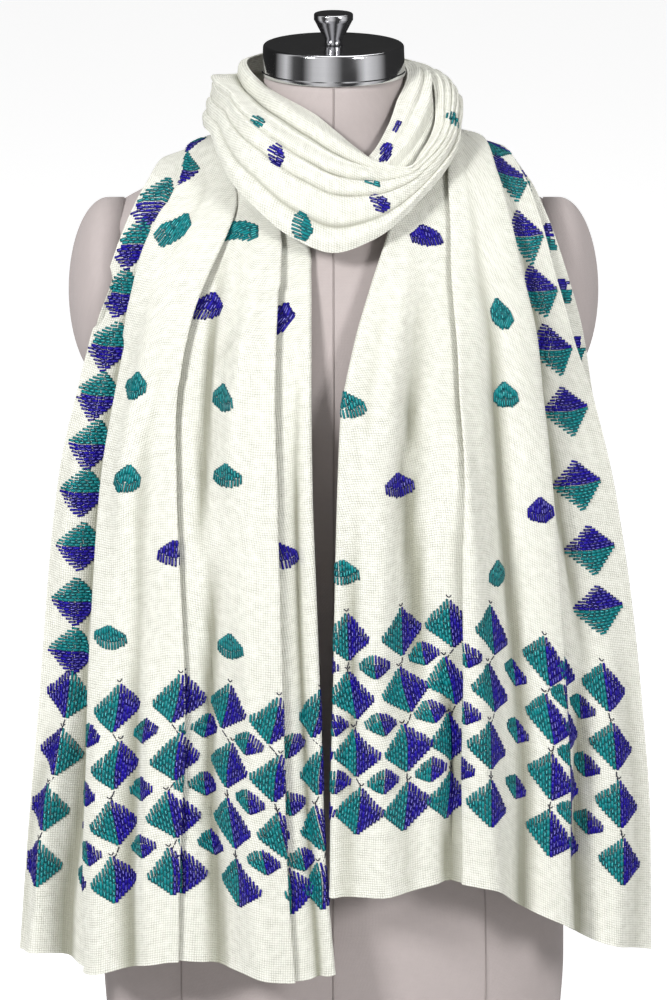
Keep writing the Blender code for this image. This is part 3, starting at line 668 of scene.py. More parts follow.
@dataclass(frozen=True)
class FlossFinish(Finish):
    """Untwisted silky floss: its colour, a darker colour that it varies towards at random and
    paints as shade along the sides and ends of each stitch, painted highlight dashes, and its
    gloss.
    """

    colour: Colour
    shade: Colour
    painted_highlight_colour: Colour
    painted_side_shade_power: float = 2.0
    painted_side_shade_strength: float = 1.15
    painted_end_shade_power: float = 6.0
    painted_end_shade_strength: float = 0.7
    relief: float = 0.00008
    filaments: float = 13.0
    twist: float = 1.6
    glint_lean: float = 0.25
    glint_width: float = 0.17
    glint_reach: float = 0.42
    glint_from: float = 0.40

    def build(self) -> Material:
        """Makes the material, which reads the place on each stitch and each stitch's tint."""
        made, write, shader = self.start()
        place = write.add("ShaderNodeAttribute", attribute_name="stitch_place").outputs["Vector"]
        tint = write.add("ShaderNodeAttribute", attribute_name="tint").outputs["Fac"]
        aside, _, along = write.parts(place)
        far_aside, far_along = write.math("ABSOLUTE", aside), write.math("ABSOLUTE", along)
        strands = write.times(aside, self.filaments)
        strands = write.math("ADD", strands, write.times(along, self.twist))
        strands = write.math("ABSOLUTE", write.math("SINE", strands))
        # Masks for painted shade: each stitch's sides, where the strands meet, and its ends, where
        # it dives into the cloth.
        edge = write.math("POWER", far_aside, self.painted_side_shade_power)
        edge = write.times(edge, self.painted_side_shade_strength, clamp=True)
        ends = write.math("POWER", far_along, self.painted_end_shade_power)
        ends = write.times(ends, self.painted_end_shade_strength, clamp=True)
        # A random darker tone for each stitch, then painted shade at its sides and ends, in the
        # same darker colour.
        colour = write.mix(tint, self.colour, self.shade)
        for share in (edge, ends):
            colour = write.mix(share, colour, self.shade)
        # Painted highlight: a light leaning dash down the middle part of each stitch whose tint is
        # high enough, brighter as the tint rises.
        lean = write.math("SUBTRACT", aside, write.times(along, self.glint_lean))
        painted_highlight_mask = write.math("LESS_THAN", write.math("ABSOLUTE", lean), self.glint_width)
        crown = write.math("LESS_THAN", far_along, self.glint_reach)
        crown = write.times(crown, write.math("GREATER_THAN", tint, self.glint_from))
        painted_highlight_mask = write.times(write.times(painted_highlight_mask, crown), tint)
        write.feed(shader, {
            "Base Color": write.mix(painted_highlight_mask, colour, self.painted_highlight_colour),
            "Specular IOR Level": 0.30, "Normal": bumped(write, strands, self.relief),
        })
        return made


@dataclass(frozen=True)
class SteelFinish(Finish):
    """Polished steel with faint turning marks."""

    colour: Colour
    mark_share: float = 0.8
    mark_shade: float = 0.86
    least_smear: float = -0.03
    smear: float = 0.10
    relief: float = 0.000012

    def build(self) -> Material:
        """Makes the material."""
        made, write, shader = self.start()
        place = write.add("ShaderNodeTexCoord").outputs["Object"]
        marks = write.noise(place, 1.0, 2.0, (8.0, 8.0, 2600.0))
        smear = write.times(write.noise(place, 60.0, 3.0), self.smear)
        darker = tuple(self.mark_shade * part for part in self.colour)
        write.feed(shader, {
            "Base Color": write.mix(write.times(marks, self.mark_share), self.colour, darker),
            "Roughness": write.math("ADD", smear, self.roughness + self.least_smear),
            "Metallic": 1.0, "Normal": bumped(write, marks, self.relief),
        })
        return made


@dataclass(frozen=True)
class BoardFinish(Finish):
    """Plain satin board."""

    light: Colour
    dark: Colour
    relief: float = 0.0002

    def build(self, groups: Groups) -> Material:
        """Makes the material from the shared grain."""
        made, write, shader = self.start()
        place = write.add("ShaderNodeTexCoord").outputs["Object"]
        grain = write.first("ShaderNodeGroup", {"Place": place}, node_tree=groups.wood)
        write.feed(shader, {
            "Base Color": write.mix(grain, self.light, self.dark),
            "Normal": bumped(write, grain, self.relief),
        })
        return made


class Finishes:
    """Every material of the part."""

    def __init__(self) -> None:
        """Builds them over the shared groups."""
        groups = Groups()
        # The cotton darkens in its troughs by painted shade.
        self.cotton = WovenFinish(
            "cream cotton", 0.88, (0.88, 0.88, 0.81), (0.27, 0.27, 0.20), 540.0, 0.95, 0.00045,
            slub=0.6, stain=(0.74, 0.73, 0.62), stain_share=0.20, painted_trough_shade=0.85,
        ).build(groups)
        self.linen = WovenFinish(
            "form linen", 0.88, (0.47, 0.415, 0.405), (0.31, 0.27, 0.26), 900.0, 0.5, 0.00012,
            stain=(0.40, 0.35, 0.34), stain_share=0.3,
        ).build(groups)
        self.seam = WovenFinish(
            "linen seam", 0.88, (0.33, 0.29, 0.28), (0.23, 0.20, 0.19), 900.0, 0.5, 0.0001,
        ).build(groups)
        # Each floss: its colour; a darker colour that its stitches vary towards at random and that
        # paints shade along their sides and ends; and the colour of the highlight dashes painted on
        # them.
        self.teal = FlossFinish(
            "teal floss", 0.34, (0.0, 0.262, 0.276), (0.0, 0.075, 0.090), (0.10, 0.76, 0.76),
        ).build()
        self.blue = FlossFinish(
            "royal blue floss", 0.34, (0.011, 0.002, 0.37), (0.003, 0.0, 0.10), (0.32, 0.30, 0.95),
        ).build()
        self.carry = FlossFinish(
            "dark carrying thread", 0.34, (0.020, 0.022, 0.06), (0.01, 0.01, 0.02), (0.1, 0.1, 0.2),
        ).build()
        self.steel = SteelFinish("polished steel", 0.10, (0.62, 0.62, 0.64)).build()
        self.board = BoardFinish(
            "base board", 0.5, (0.50, 0.36, 0.23), (0.30, 0.19, 0.11),
        ).build(groups)


def angles_round(count: int) -> np.ndarray:
    """Angles evenly round a full turn, in radians."""
    return np.linspace(0.0, 2 * np.pi, count, endpoint=False)


def rounded_corner(radius: float, top: float, rounding: float, steps: int) -> list[Section]:
    """The rounded upper corner of a turned solid's profile, after the corner's start."""
    return [
        (radius - rounding * (1 - math.cos(turn)), top - rounding * (1 - math.sin(turn)))
        for turn in np.linspace(0.0, np.pi / 2, steps + 1)[1:]
    ]


@dataclass
class DressForm:
    """The limbless form: stretched linen over torso and shoulder pads, cap, knob and board."""

    sides: int = 144
    rings: int = 150
    pad_sides: int = 72
    pad_rings: int = 25
    cap_sides: int = 128
    knob_sides: int = 72
    knob_rings: int = 10
    seam_sides: int = 8
    seam_steps: int = 160
    pad_centre: Point = (0.1730, 0.0000, 0.6080)
    pad_radii: Point = (0.0310, 0.0580, 0.0720)
    pad_seam: float = 0.0007
    pad_seat: float = 0.012
    board_inset: float = 0.0040
    board_rim: tuple[Section, ...] = (
        (0.0, 0.0015), (0.0005, 0.0005), (0.0015, 0.0), (0.0117, 0.0),
    )
    cap_bottom: float = 0.7765
    cap_top: float = 0.8000
    cap_radius: float = 0.0555
    cap_rim: tuple[Section, ...] = (
        (-0.0012, 0.0), (-0.0003, 0.0003), (0.0, 0.0010), (0.0, 0.0030), (-0.0008, 0.0038),
    )
    cap_top_radius: float = 0.0540
    cap_rounding: float = 0.0022
    cap_dish: tuple[Section, ...] = ((0.0500, 0.0002), (0.0300, 0.0003))
    knob_bottom: float = 0.8003
    knob_foot: float = 0.0012
    knob_foot_flare: float = 1.15
    knob_flare_from: float = 0.0030
    knob_flare_height: float = 0.0145
    knob_flare_share: float = 0.95
    knob_band: float = 0.0050
    knob_rounding: float = 0.0014
    knob_top: float = 0.8240
    knob_radius: float = 0.0150
    knob_stem: float = 0.0068
    crisp_degrees: float = 40
    seam_radius: float = 0.0007
    seam_end: float = 0.001
    side_seam_top: float = 0.66

    def torso_level(self, points: np.ndarray) -> np.ndarray:
        """1 on the torso's surface, less inside it and more outside."""
        x, y, z = points[..., 0], points[..., 1], points[..., 2]
        power = TORSO.at("squareness", z)
        depth = np.where(y < 0, TORSO.at("front", z), TORSO.at("back", z))
        sides = (np.abs(x) / TORSO.at("half_width", z)) ** power + (np.abs(y) / depth) ** power
        return (sides + 1e-12) ** (1 / power)

    def pad_level(self, points: np.ndarray) -> np.ndarray:
        """1 on the surface of the nearer shoulder pad."""
        offset = np.abs(points) * (1, 0, 0) + points * (0, 1, 1) - self.pad_centre
        return np.sqrt(((offset / self.pad_radii) ** 2).sum(axis=-1) + 1e-12)

    def pushed_clear(self, points: np.ndarray, clearance: float) -> np.ndarray:
        """Points moved straight out of the form until they are this far from it."""
        points = np.array(points, float)
        nudge, farthest, rounds = 2e-4, 0.03, 8
        for level in (self.torso_level, self.pad_level) * rounds:
            here = level(points)
            slope = np.stack([
                (level(points + nudge * axis) - level(points - nudge * axis)) / (2 * nudge)
                for axis in np.eye(3)
            ], axis=-1)
            steepness = np.maximum(np.linalg.norm(slope, axis=-1), 1e-6)
            short = np.clip(clearance - (here - 1) / steepness, 0.0, farthest)
            points += slope * (short / steepness)[..., None]
        return points

    def ring(self, height: float, turned: np.ndarray, extra: float = 0.0) -> np.ndarray:
        """Points round the torso at one height.

        Args:
            height: Height above the board's underside.
            turned: Angles, from +X towards +Y, in radians.
            extra: How far outside the torso.
        """
        power = TORSO.at("squareness", height)
        half_width = TORSO.at("half_width", height) + extra
        cosine, sine = np.cos(turned), np.sin(turned)
        depth = np.where(sine < 0, TORSO.at("front", height), TORSO.at("back", height)) + extra
        x = np.sign(cosine) * np.abs(cosine) ** (2 / power) * half_width
        y = np.sign(sine) * np.abs(sine) ** (2 / power) * depth
        return np.stack([x, y, np.full_like(x, height)], axis=-1)

    def closed_rings(self, name: str, rings: np.ndarray, finish: Material) -> Object:
        """A solid through rings of points with flat ends, its UV map in metres round and up."""
        count, sides = rings.shape[:2]
        faces = [tuple(range(sides - 1, -1, -1)), tuple(range((count - 1) * sides, count * sides))]
        for low in range(0, (count - 1) * sides, sides):
            high = low + sides
            for here in range(sides):
                after = (here + 1) % sides
                faces.append((low + here, low + after, high + after, high + here))
        places = np.stack([lengths_along(rings, 1), lengths_along(rings, 0)], axis=-1)
        made = add_mesh(name, rings, faces, finish, places)
        face_outwards(made)
        return made

    def turned_solid(
        self, name: str, node: str, profile: list[Section], finish: Material, sides: int
    ) -> None:
        """A metal solid turned about the neck's axis from (radius, height) points, upwards."""
        turned = angles_round(sides)
        circle = np.stack([np.cos(turned), np.sin(turned)], axis=-1)
        rings = np.stack([
            np.concatenate([circle * radius, np.full((sides, 1), height)], axis=1)
            for radius, height in profile
        ])
        made = self.closed_rings(name, rings, finish)
        made.data.set_sharp_from_angle(angle=math.radians(self.crisp_degrees))
        finish_piece(made, "cap_metal", node)

    def build_torso(self, finish: Material) -> None:
        """The torso from its flat bottom to the neck."""
        turned = angles_round(self.sides) + np.pi / 2
        heights = np.linspace(TORSO.rows[0][0], TORSO.rows[-1][0], self.rings)
        rings = np.stack([self.ring(height, turned) for height in heights])
        finish_piece(self.closed_rings("form_torso", rings, finish), "form_linen", "torso")

    def build_pad(self, side: int, finish: Material) -> None:
        """One shoulder pad, its rim carried inwards to just outside the torso.

        Args:
            side: -1 at the left and 1 at the right.
            finish: The linen.
        """
        name = "left" if side < 0 else "right"
        turned = angles_round(self.pad_sides)
        shell = np.stack([
            np.stack([
                np.full_like(turned, side * math.cos(tilt)),
                np.cos(turned) * math.sin(tilt), np.sin(turned) * math.sin(tilt),
            ], axis=-1)
            for tilt in np.linspace(0.0, 0.5 * np.pi, self.pad_rings + 1)[1:]
        ])
        shell = shell * self.pad_radii + np.array(self.pad_centre) * (side, 1, 1)
        seat = shell[-1:] - (side * self.pad_seat, 0.0, 0.0)
        shell = np.concatenate([shell, self.pushed_clear(seat, self.pad_seam)])
        made = self.closed_rings(f"form_pad_{name}", shell, finish)
        finish_piece(made, "form_linen", f"shoulder_pad_{name}")

    def build_cap(self, finish: Material) -> None:
        """The neck cap, a low drum with a rolled rim."""
        top, radius = self.cap_top, self.cap_top_radius
        profile = [(self.cap_radius + out, self.cap_bottom + up) for out, up in self.cap_rim]
        profile.append((radius, top - self.cap_rounding))
        profile += rounded_corner(radius, top, self.cap_rounding, 6)
        profile += [(inner, top - dip) for inner, dip in self.cap_dish]
        self.turned_solid("cap_drum", "neck_cap", profile, finish, self.cap_sides)

    def build_knob(self, finish: Material) -> None:
        """The flared knob on the cap."""
        stem, radius, low, top = self.knob_stem, self.knob_radius, self.knob_bottom, self.knob_top
        profile = [(stem * self.knob_foot_flare, low), (stem, low + self.knob_foot)]
        for share in np.linspace(0.0, 1.0, self.knob_rings):
            flare = stem + (radius * self.knob_flare_share - stem) * share
            profile.append((flare, low + self.knob_flare_from + share * self.knob_flare_height))
        profile += [(radius, top - self.knob_band), (radius, top - self.knob_rounding)]
        profile += rounded_corner(radius, top, self.knob_rounding, 5)
        profile.append((radius * 0.5, top))
        self.turned_solid("cap_knob", "knob", profile, finish, self.knob_sides)

    def build_board(self, finish: Material) -> None:
        """The board under the form, with a rounded lower edge."""
        bottom = self.ring(TORSO.rows[0][0], angles_round(self.sides), -self.board_inset)
        rings = []
        for height, inset in self.board_rim:
            level = bottom * (1 - inset / TORSO.rows[0][1])
            level[:, 2] = height
            rings.append(level)
        board = self.closed_rings("form_board", np.stack(rings), finish)
        board.data.set_sharp_from_angle(angle=math.radians(self.crisp_degrees))
        finish_piece(board, "base_board", "base_board")

    def build_seams(self, finish: Material) -> None:
        """The linen's seams: centre front and back, and six more that end at the shoulders."""
        low, top = TORSO.rows[0][0], TORSO.rows[-1][0]
        heights = np.linspace(low + self.seam_end, top - self.seam_end, self.seam_steps)
        for index, angle in enumerate((-90, 90, 0, 180, -52, -128, 52, 128)):
            turned = np.array([math.radians(angle)])
            chosen = heights[heights < (top if abs(angle) == 90 else self.side_seam_top)]
            line = np.stack([self.ring(height, turned)[0] for height in chosen])
            name = f"form_seam_{index}"
            seam = tube_along(name, line, self.seam_radius, self.seam_sides, finish)
            finish_piece(seam, "form_linen")

    def build(self, finishes: Finishes) -> None:
        """Builds the whole form."""
        self.build_torso(finishes.linen)
        for side in (-1, 1):
            self.build_pad(side, finishes.linen)
        self.build_cap(finishes.steel)
        self.build_knob(finishes.steel)
        self.build_board(finishes.board)
        self.build_seams(finishes.seam)


def grown(
    name: str, mesh: Mesh, tree: NodeTree, values: dict[str, object]
) -> Object:
    """An object with the plain mesh that a tree makes of another, with its named inputs set."""
    made = place_object(name, mesh)
    modifier = made.modifiers.new(tree.name, "NODES")
    modifier.node_group = tree
    for item in tree.interface.items_tree:
        if item.item_type == "SOCKET" and item.in_out == "INPUT" and item.name in values:
            modifier[item.identifier] = values[item.name]
    graph = bpy.context.evaluated_depsgraph_get()
    result = bpy.data.meshes.new_from_object(made.evaluated_get(graph))
    made.modifiers.clear()
    made.data = result
    made.data.name = name
    return made


def give_finish(write: NodeWriter, geometry: object, finish: object, out: Node) -> None:
    """Makes a tree's geometry real, gives it its material and leads it out."""
    real = write.first("GeometryNodeRealizeInstances", {0: geometry})
    dressed = write.first("GeometryNodeSetMaterial", {"Geometry": real, "Material": finish})
    write.feed(out, {"Mesh": dressed})


def tube_tree() -> NodeTree:
    """Geometry Nodes: a round seam along a line of points."""
    tree, write, given, out = start_group(
        "tube along a line", "GeometryNodeTree",
        {"Line": "Geometry", "Radius": "Float", "Sides": "Int", "Finish": "Material"},
        {"Mesh": "Geometry"},
    )
    size = {"Resolution": given["Sides"], "Radius": given["Radius"]}
    sweep = write.first("GeometryNodeCurveToMesh", {
        "Curve": write.first("GeometryNodeMeshToCurve", {"Mesh": given["Line"]}),
        "Profile Curve": write.first("GeometryNodeCurvePrimitiveCircle", size),
        "Fill Caps": True,
    })
    give_finish(write, sweep, given["Finish"], out)
    return tree


STITCH_MEASURES = (
    ("along", "FLOAT_VECTOR"), ("out", "FLOAT_VECTOR"), ("length", "FLOAT"), ("width", "FLOAT"),
)


def stitch_tree() -> NodeTree:
    """Geometry Nodes: one laid stitch of floss at each point, along its own direction."""
    tree, write, given, out = start_group(
        "laid stitches", "GeometryNodeTree",
        {"Places": "Geometry", "Thickness": "Float", "Finish": "Material"}, {"Mesh": "Geometry"},
    )
    belly, stub = 1 / 1.2247, 1.50
    ball = write.first("GeometryNodeMeshUVSphere", {"Segments": 4, "Rings": 3})
    quarter = {"Geometry": ball, "Rotation": (0.0, 0.0, math.pi / 4)}
    square = write.first("GeometryNodeTransform", quarter)
    where = write.first("GeometryNodeInputPosition")
    x, y, z = write.parts(where)
    blunt = write.math("MAXIMUM", write.times(z, stub), -1.0)
    blunt = write.math("MINIMUM", blunt, 1.0)
    shape = write.first("ShaderNodeCombineXYZ", {
        0: write.times(x, belly), 1: write.times(y, belly), 2: write.times(blunt, 0.5),
    })
    spindle = write.first("GeometryNodeSetPosition", {"Geometry": square, "Position": shape})
    doubled = write.first("ShaderNodeVectorMath", {0: where, "Scale": 2.0}, operation="SCALE")
    stitch = write.first("GeometryNodeStoreNamedAttribute", {
        "Geometry": spindle, "Name": "stitch_place", "Value": doubled,
    }, data_type="FLOAT_VECTOR", domain="POINT")
    along, outwards, length, width = (
        write.first("GeometryNodeInputNamedAttribute", {"Name": name}, data_type=kind)
        for name, kind in STITCH_MEASURES
    )
    turn = write.first(
        "FunctionNodeAxesToRotation", {0: along, 1: outwards}, primary_axis="Z", secondary_axis="Y"
    )
    size = write.first("ShaderNodeCombineXYZ", {0: width, 1: given["Thickness"], 2: length})
    copies = write.first("GeometryNodeInstanceOnPoints", {
        "Points": given["Places"], "Instance": stitch, "Rotation": turn, "Scale": size,
    })
    give_finish(write, copies, given["Finish"], out)
    return tree


def tube_along(
    name: str, line: np.ndarray, radius: float, sides: int, finish: Material
) -> Object:
    """A closed tube along a line of points, with that many sides."""
    tree = bpy.data.node_groups.get("tube along a line") or tube_tree()
    mesh = bpy.data.meshes.new(name)
    mesh.from_pydata(line.tolist(), [(i, i + 1) for i in range(len(line) - 1)], [])
    made = grown(name, mesh, tree, {"Radius": radius, "Sides": sides, "Finish": finish})
    layer = made.data.uv_layers.new(name="cloth")
    layer.data.foreach_set("uv", np.zeros(len(made.data.loops) * 2, np.float32))
    face_outwards(made)
    made.data.shade_smooth()
    return made


class PatternSheet:
    """A cloth's surface, found by the distance from its outer edge and from its hem."""

    step = 0.0015

    def __init__(self, grid: np.ndarray, even_rows: bool = False) -> None:
        """Spreads an even lattice over a grid of points.

        Args:
            grid: Points of the cloth, rows up from the hem and columns in from the outer edge.
            even_rows: Whether each row stays at one distance, as round a neck.
        """
        up = lengths_along(grid, 0)
        if even_rows:
            up = up.mean(axis=1, keepdims=True) + 0 * up
        heights = np.arange(0.0, up[-1].min(), self.step)
        curves = np.stack([
            along_line(heights, up[:, column], grid[:, column]) for column in range(grid.shape[1])
        ], axis=1)
        across = lengths_along(curves, 1)
        self.widths = across[:, -1]
        self.tallest = heights[-1]
        places = np.arange(0.0, self.widths.max(), self.step)
        self.lattice = np.stack([
            along_line(places, reach, curve) for reach, curve in zip(across, curves)
        ])

    def width(self, up: np.ndarray) -> np.ndarray:
        """The cloth's width at heights above the hem."""
        rows = np.clip(np.asarray(up) / self.step, 0, len(self.widths) - 1)
        return np.interp(rows, np.arange(len(self.widths)), self.widths)

    def locate(self, across: np.ndarray, up: np.ndarray) -> np.ndarray:
        """The points at these distances in from the outer edge and up from the hem."""
        rows, columns = self.lattice.shape[:2]
        i = np.clip(np.asarray(up) / self.step, 0, rows - 1.001)
        j = np.clip(np.asarray(across) / self.step, 0, columns - 1.001)
        low, left = i.astype(int), j.astype(int)
        a, b = (i - low)[..., None], (j - left)[..., None]
        grid = self.lattice
        below = grid[low, left] * (1 - b) + grid[low, left + 1] * b
        above = grid[low + 1, left] * (1 - b) + grid[low + 1, left + 1] * b
        return below * (1 - a) + above * a

    def steps_from(
        self, across: np.ndarray, up: np.ndarray, reach: float
    ) -> tuple[np.ndarray, np.ndarray]:
        """The ways across and up a place, from that far on one side of it to the other."""
        inwards = self.locate(across + reach, up) - self.locate(across - reach, up)
        return inwards, self.locate(across, up + reach) - self.locate(across, up - reach)

    def normals(self, across: np.ndarray, up: np.ndarray) -> np.ndarray:
        """Unit normals there."""
        return unit(np.cross(*self.steps_from(across, up, 0.001)))


class Teeth(Enum):
    """Which way the toothed side of a motif points on the front, in degrees."""

    UP = 0
    SIDE = 90
    DOWN = 180


@dataclass(frozen=True)
class MotifShape:
    """Sizes of a motif: a shield with a toothed side and a smooth side, in laid stitches."""

    half_width: float
    toothed: float
    smooth: float
    shoulder: float
    strands: int
    dome: float = 1.0
    band: float = 0.0050
    spare_strand: float = 0.1
    strand_offset: float = 0.55
    unevenness: float = 0.0007
    cut_unevenness: float = 0.0005
    lean_unevenness: float = 0.0002
    stagger: float = 0.0006
    spread: float = 1.07
    tooth_length: float = 0.0016
    tooth_width: float = 0.70
    strand_width: float = 1.05
    overlap: float = 0.0004

    def stitches(self, rng: np.random.Generator) -> np.ndarray:
        """Lays the stitches, with small unevenness.

        Returns:
            Rows of u, v at the start, u, v at the end with v towards the teeth, and the width.
        """
        rows = []
        pitch = self.half_width / (self.strands + self.spare_strand)
        cut_reach, lean_reach = self.cut_unevenness, self.lean_unevenness
        for side in (-1, 1):
            for index in range(self.strands):
                share = (index + 0.5) / self.strands
                low = -self.smooth * (1 - share)
                high = self.shoulder + self.toothed * (1 - share**self.dome)
                high += rng.uniform(-self.unevenness, self.unevenness)
                pieces = max(1, round((high - low) / self.band - 0.10))
                cuts = np.linspace(low, high, pieces + 1)
                cuts[1:-1] += rng.uniform(-cut_reach, cut_reach, pieces - 1)
                cuts[1:-1] += self.stagger * (index % 2)
                place = (index + self.strand_offset) * pitch
                lean = place * np.linspace(1.0, self.spread, pieces + 1)
                lean += rng.uniform(-lean_reach, lean_reach, pieces + 1)
                cuts[-1] += self.tooth_length
                for part in range(pieces):
                    wide = self.tooth_width if part == pieces - 1 else self.strand_width
                    rows.append((
                        side * lean[part], cuts[part] - self.overlap,
                        side * lean[part + 1], cuts[part + 1] + self.overlap, pitch * wide,
                    ))
        return np.array(rows)


LARGE = MotifShape(0.0196, 0.0195, 0.0160, 0.0025, 8)
SMALL = MotifShape(0.0128, 0.0085, 0.0070, 0.0030, 6, dome=1.5)
BORDER = MotifShape(0.0185, 0.0220, 0.0185, 0.0025, 8)
BUTI = MotifShape(0.0140, 0.0050, 0.0090, 0.0050, 6, dome=2.0)
LOOP_BUTI = MotifShape(0.0125, 0.0050, 0.0060, 0.0035, 5, dome=1.6)


@dataclass(frozen=True)
class Motif:
    """One motif: its shape, its centre in from the outer edge and up from the hem, the way its
    teeth point, the colours of its two halves, clockwise behind and ahead of its teeth, and
    whether it hangs level where the cloth's rows slope."""

    shape: MotifShape
    across: float
    up: float
    teeth: Teeth
    first: str
    second: str
    level: bool = False


@dataclass
class Embroidery:
    """Lays motifs on a stretch of cloth and turns them into stitches of floss."""

    sheet: PatternSheet
    flip: int
    seed: int
    floss_thickness: float = 0.0024
    carry_width: float = 0.0008
    carry_thickness: float = 0.0018
    carry_bend: float = 0.0012
    edge_margin: float = 0.002
    top_margin: float = 0.003
    least_drawn: float = 0.45
    most_drawn: float = 1.5

    def __post_init__(self) -> None:
        """Starts with no stitches, and the small unevenness."""
        self.stitches: dict[str, list[np.ndarray]] = {}
        self.rng = np.random.default_rng(self.seed)

    def keep(self, colour: str, ends: np.ndarray) -> None:
        """Keeps rows of start and end places on the flat cloth, and widths."""
        if len(ends):
            self.stitches.setdefault(colour, []).append(ends)

    def lay(self, motif: Motif) -> None:
        """Lays one motif's stitches."""
        local = motif.shape.stitches(self.rng)
        turn = math.radians(motif.teeth.value)
        cosine, sine = math.cos(turn), math.sin(turn)
        placed = local.copy()
        rise, stretch = self.hang(motif.across, motif.up) if motif.level else (0.0, 1.0)
        for start in (0, 2):
            u, v = local[:, start], local[:, start + 1]
            inwards = self.flip * (u * cosine - v * sine) / math.hypot(1.0, rise)
            placed[:, start] = motif.across + inwards
            placed[:, start + 1] = motif.up + (u * sine + v * cosine) * stretch + rise * inwards
        behind = local[:, 0] + local[:, 2] < 0
        self.keep(motif.first, placed[behind])
        self.keep(motif.second, placed[~behind])

    def hang(self, across: float, up: float) -> tuple[float, float]:
        """How a motif keeps level and open where the cloth's rows slope and lean back.

        Args:
            across: Its distance in from the outer edge.
            up: Its distance up from the hem.

        Returns:
            How far it climbs for each step inwards, and how much taller it is.
        """
        reach, most_rise, most_stretch, least_steep = 0.012, 0.8, 1.35, 0.1
        inwards, upwards = self.sheet.steps_from(across, up, reach)
        steepness = float(upwards[2] / np.linalg.norm(upwards))
        rise = float(np.clip(-inwards[2] / max(upwards[2], reach), -most_rise, most_rise))
        stretch = float(np.clip(1 / max(steepness, least_steep), 1.0, most_stretch))
        return rise * float(ease(steepness)), stretch

    def carry(self, across: float, above: float, low: float, high: float) -> None:
        """Lays the thin thread from one motif up to the next."""
        bend = (across + above) / 2 + self.rng.uniform(-self.carry_bend, self.carry_bend)
        middle = (low + high) / 2
        self.keep_carry((across, low, bend, middle), (bend, middle, above, high))

    def mark(self, across: float, up: float) -> None:
        """Lays the small open mark above a motif."""
        reach, rise = 0.0022, 0.0024
        self.keep_carry(*((across, up, across + way * reach, up + rise) for way in (-1, 1)))

    def keep_carry(self, *rows: tuple[float, ...]) -> None:
        """Keeps thin stitches of the carrying thread."""
        self.keep("carry", np.array([(*row, self.carry_width) for row in rows]))

    def build(self, name: str, finishes: Finishes) -> None:
        """Makes one piece of a named stretch's stitches for each colour."""
        tree = bpy.data.node_groups.get("laid stitches") or stitch_tree()
        for colour, parts in sorted(self.stitches.items()):
            ends = np.concatenate(parts)
            start = self.sheet.locate(ends[:, 0], ends[:, 1])
            finish = self.sheet.locate(ends[:, 2], ends[:, 3])
            middle = (ends[:, :2] + ends[:, 2:4]) / 2
            real = np.linalg.norm(finish - start, axis=1)
            planned = np.linalg.norm(ends[:, 2:4] - ends[:, :2], axis=1)
            kept = (middle > self.edge_margin).all(axis=1)
            kept &= middle[:, 0] < self.sheet.width(middle[:, 1]) - self.edge_margin
            kept &= middle[:, 1] < self.sheet.tallest - self.top_margin
            kept &= (real > self.least_drawn * planned) & (real < self.most_drawn * planned)
            points = bpy.data.meshes.new(f"floss_{colour}_{name}")
            points.from_pydata(((start + finish) / 2)[kept].tolist(), [], [])
            out = self.sheet.normals(middle[kept, 0], middle[kept, 1])
            measures = (unit(finish - start)[kept], out, real[kept], ends[kept, 4])
            for (measure, kind), values in zip(STITCH_MEASURES, measures):
                self.store(points, measure, kind, values)
            self.store(points, "tint", "FLOAT", self.rng.uniform(0.0, 1.0, int(kept.sum())))
            made = grown(points.name, points, tree, {
                "Thickness": self.carry_thickness if colour == "carry" else self.floss_thickness,
                "Finish": getattr(finishes, colour),
            })
            for spare, _ in STITCH_MEASURES:
                if spare in made.data.attributes:
                    made.data.attributes.remove(made.data.attributes[spare])
            made.data.shade_smooth()
            finish_piece(made, "shawl_cloth")

    def store(self, mesh: Mesh, name: str, kind: str, values: np.ndarray) -> None:
        """Stores a number or a vector for each point of a mesh."""
        layer = mesh.attributes.new(name, kind, "POINT")
        field = "vector" if kind == "FLOAT_VECTOR" else "value"
        layer.data.foreach_set(field, values.astype(np.float32).ravel())


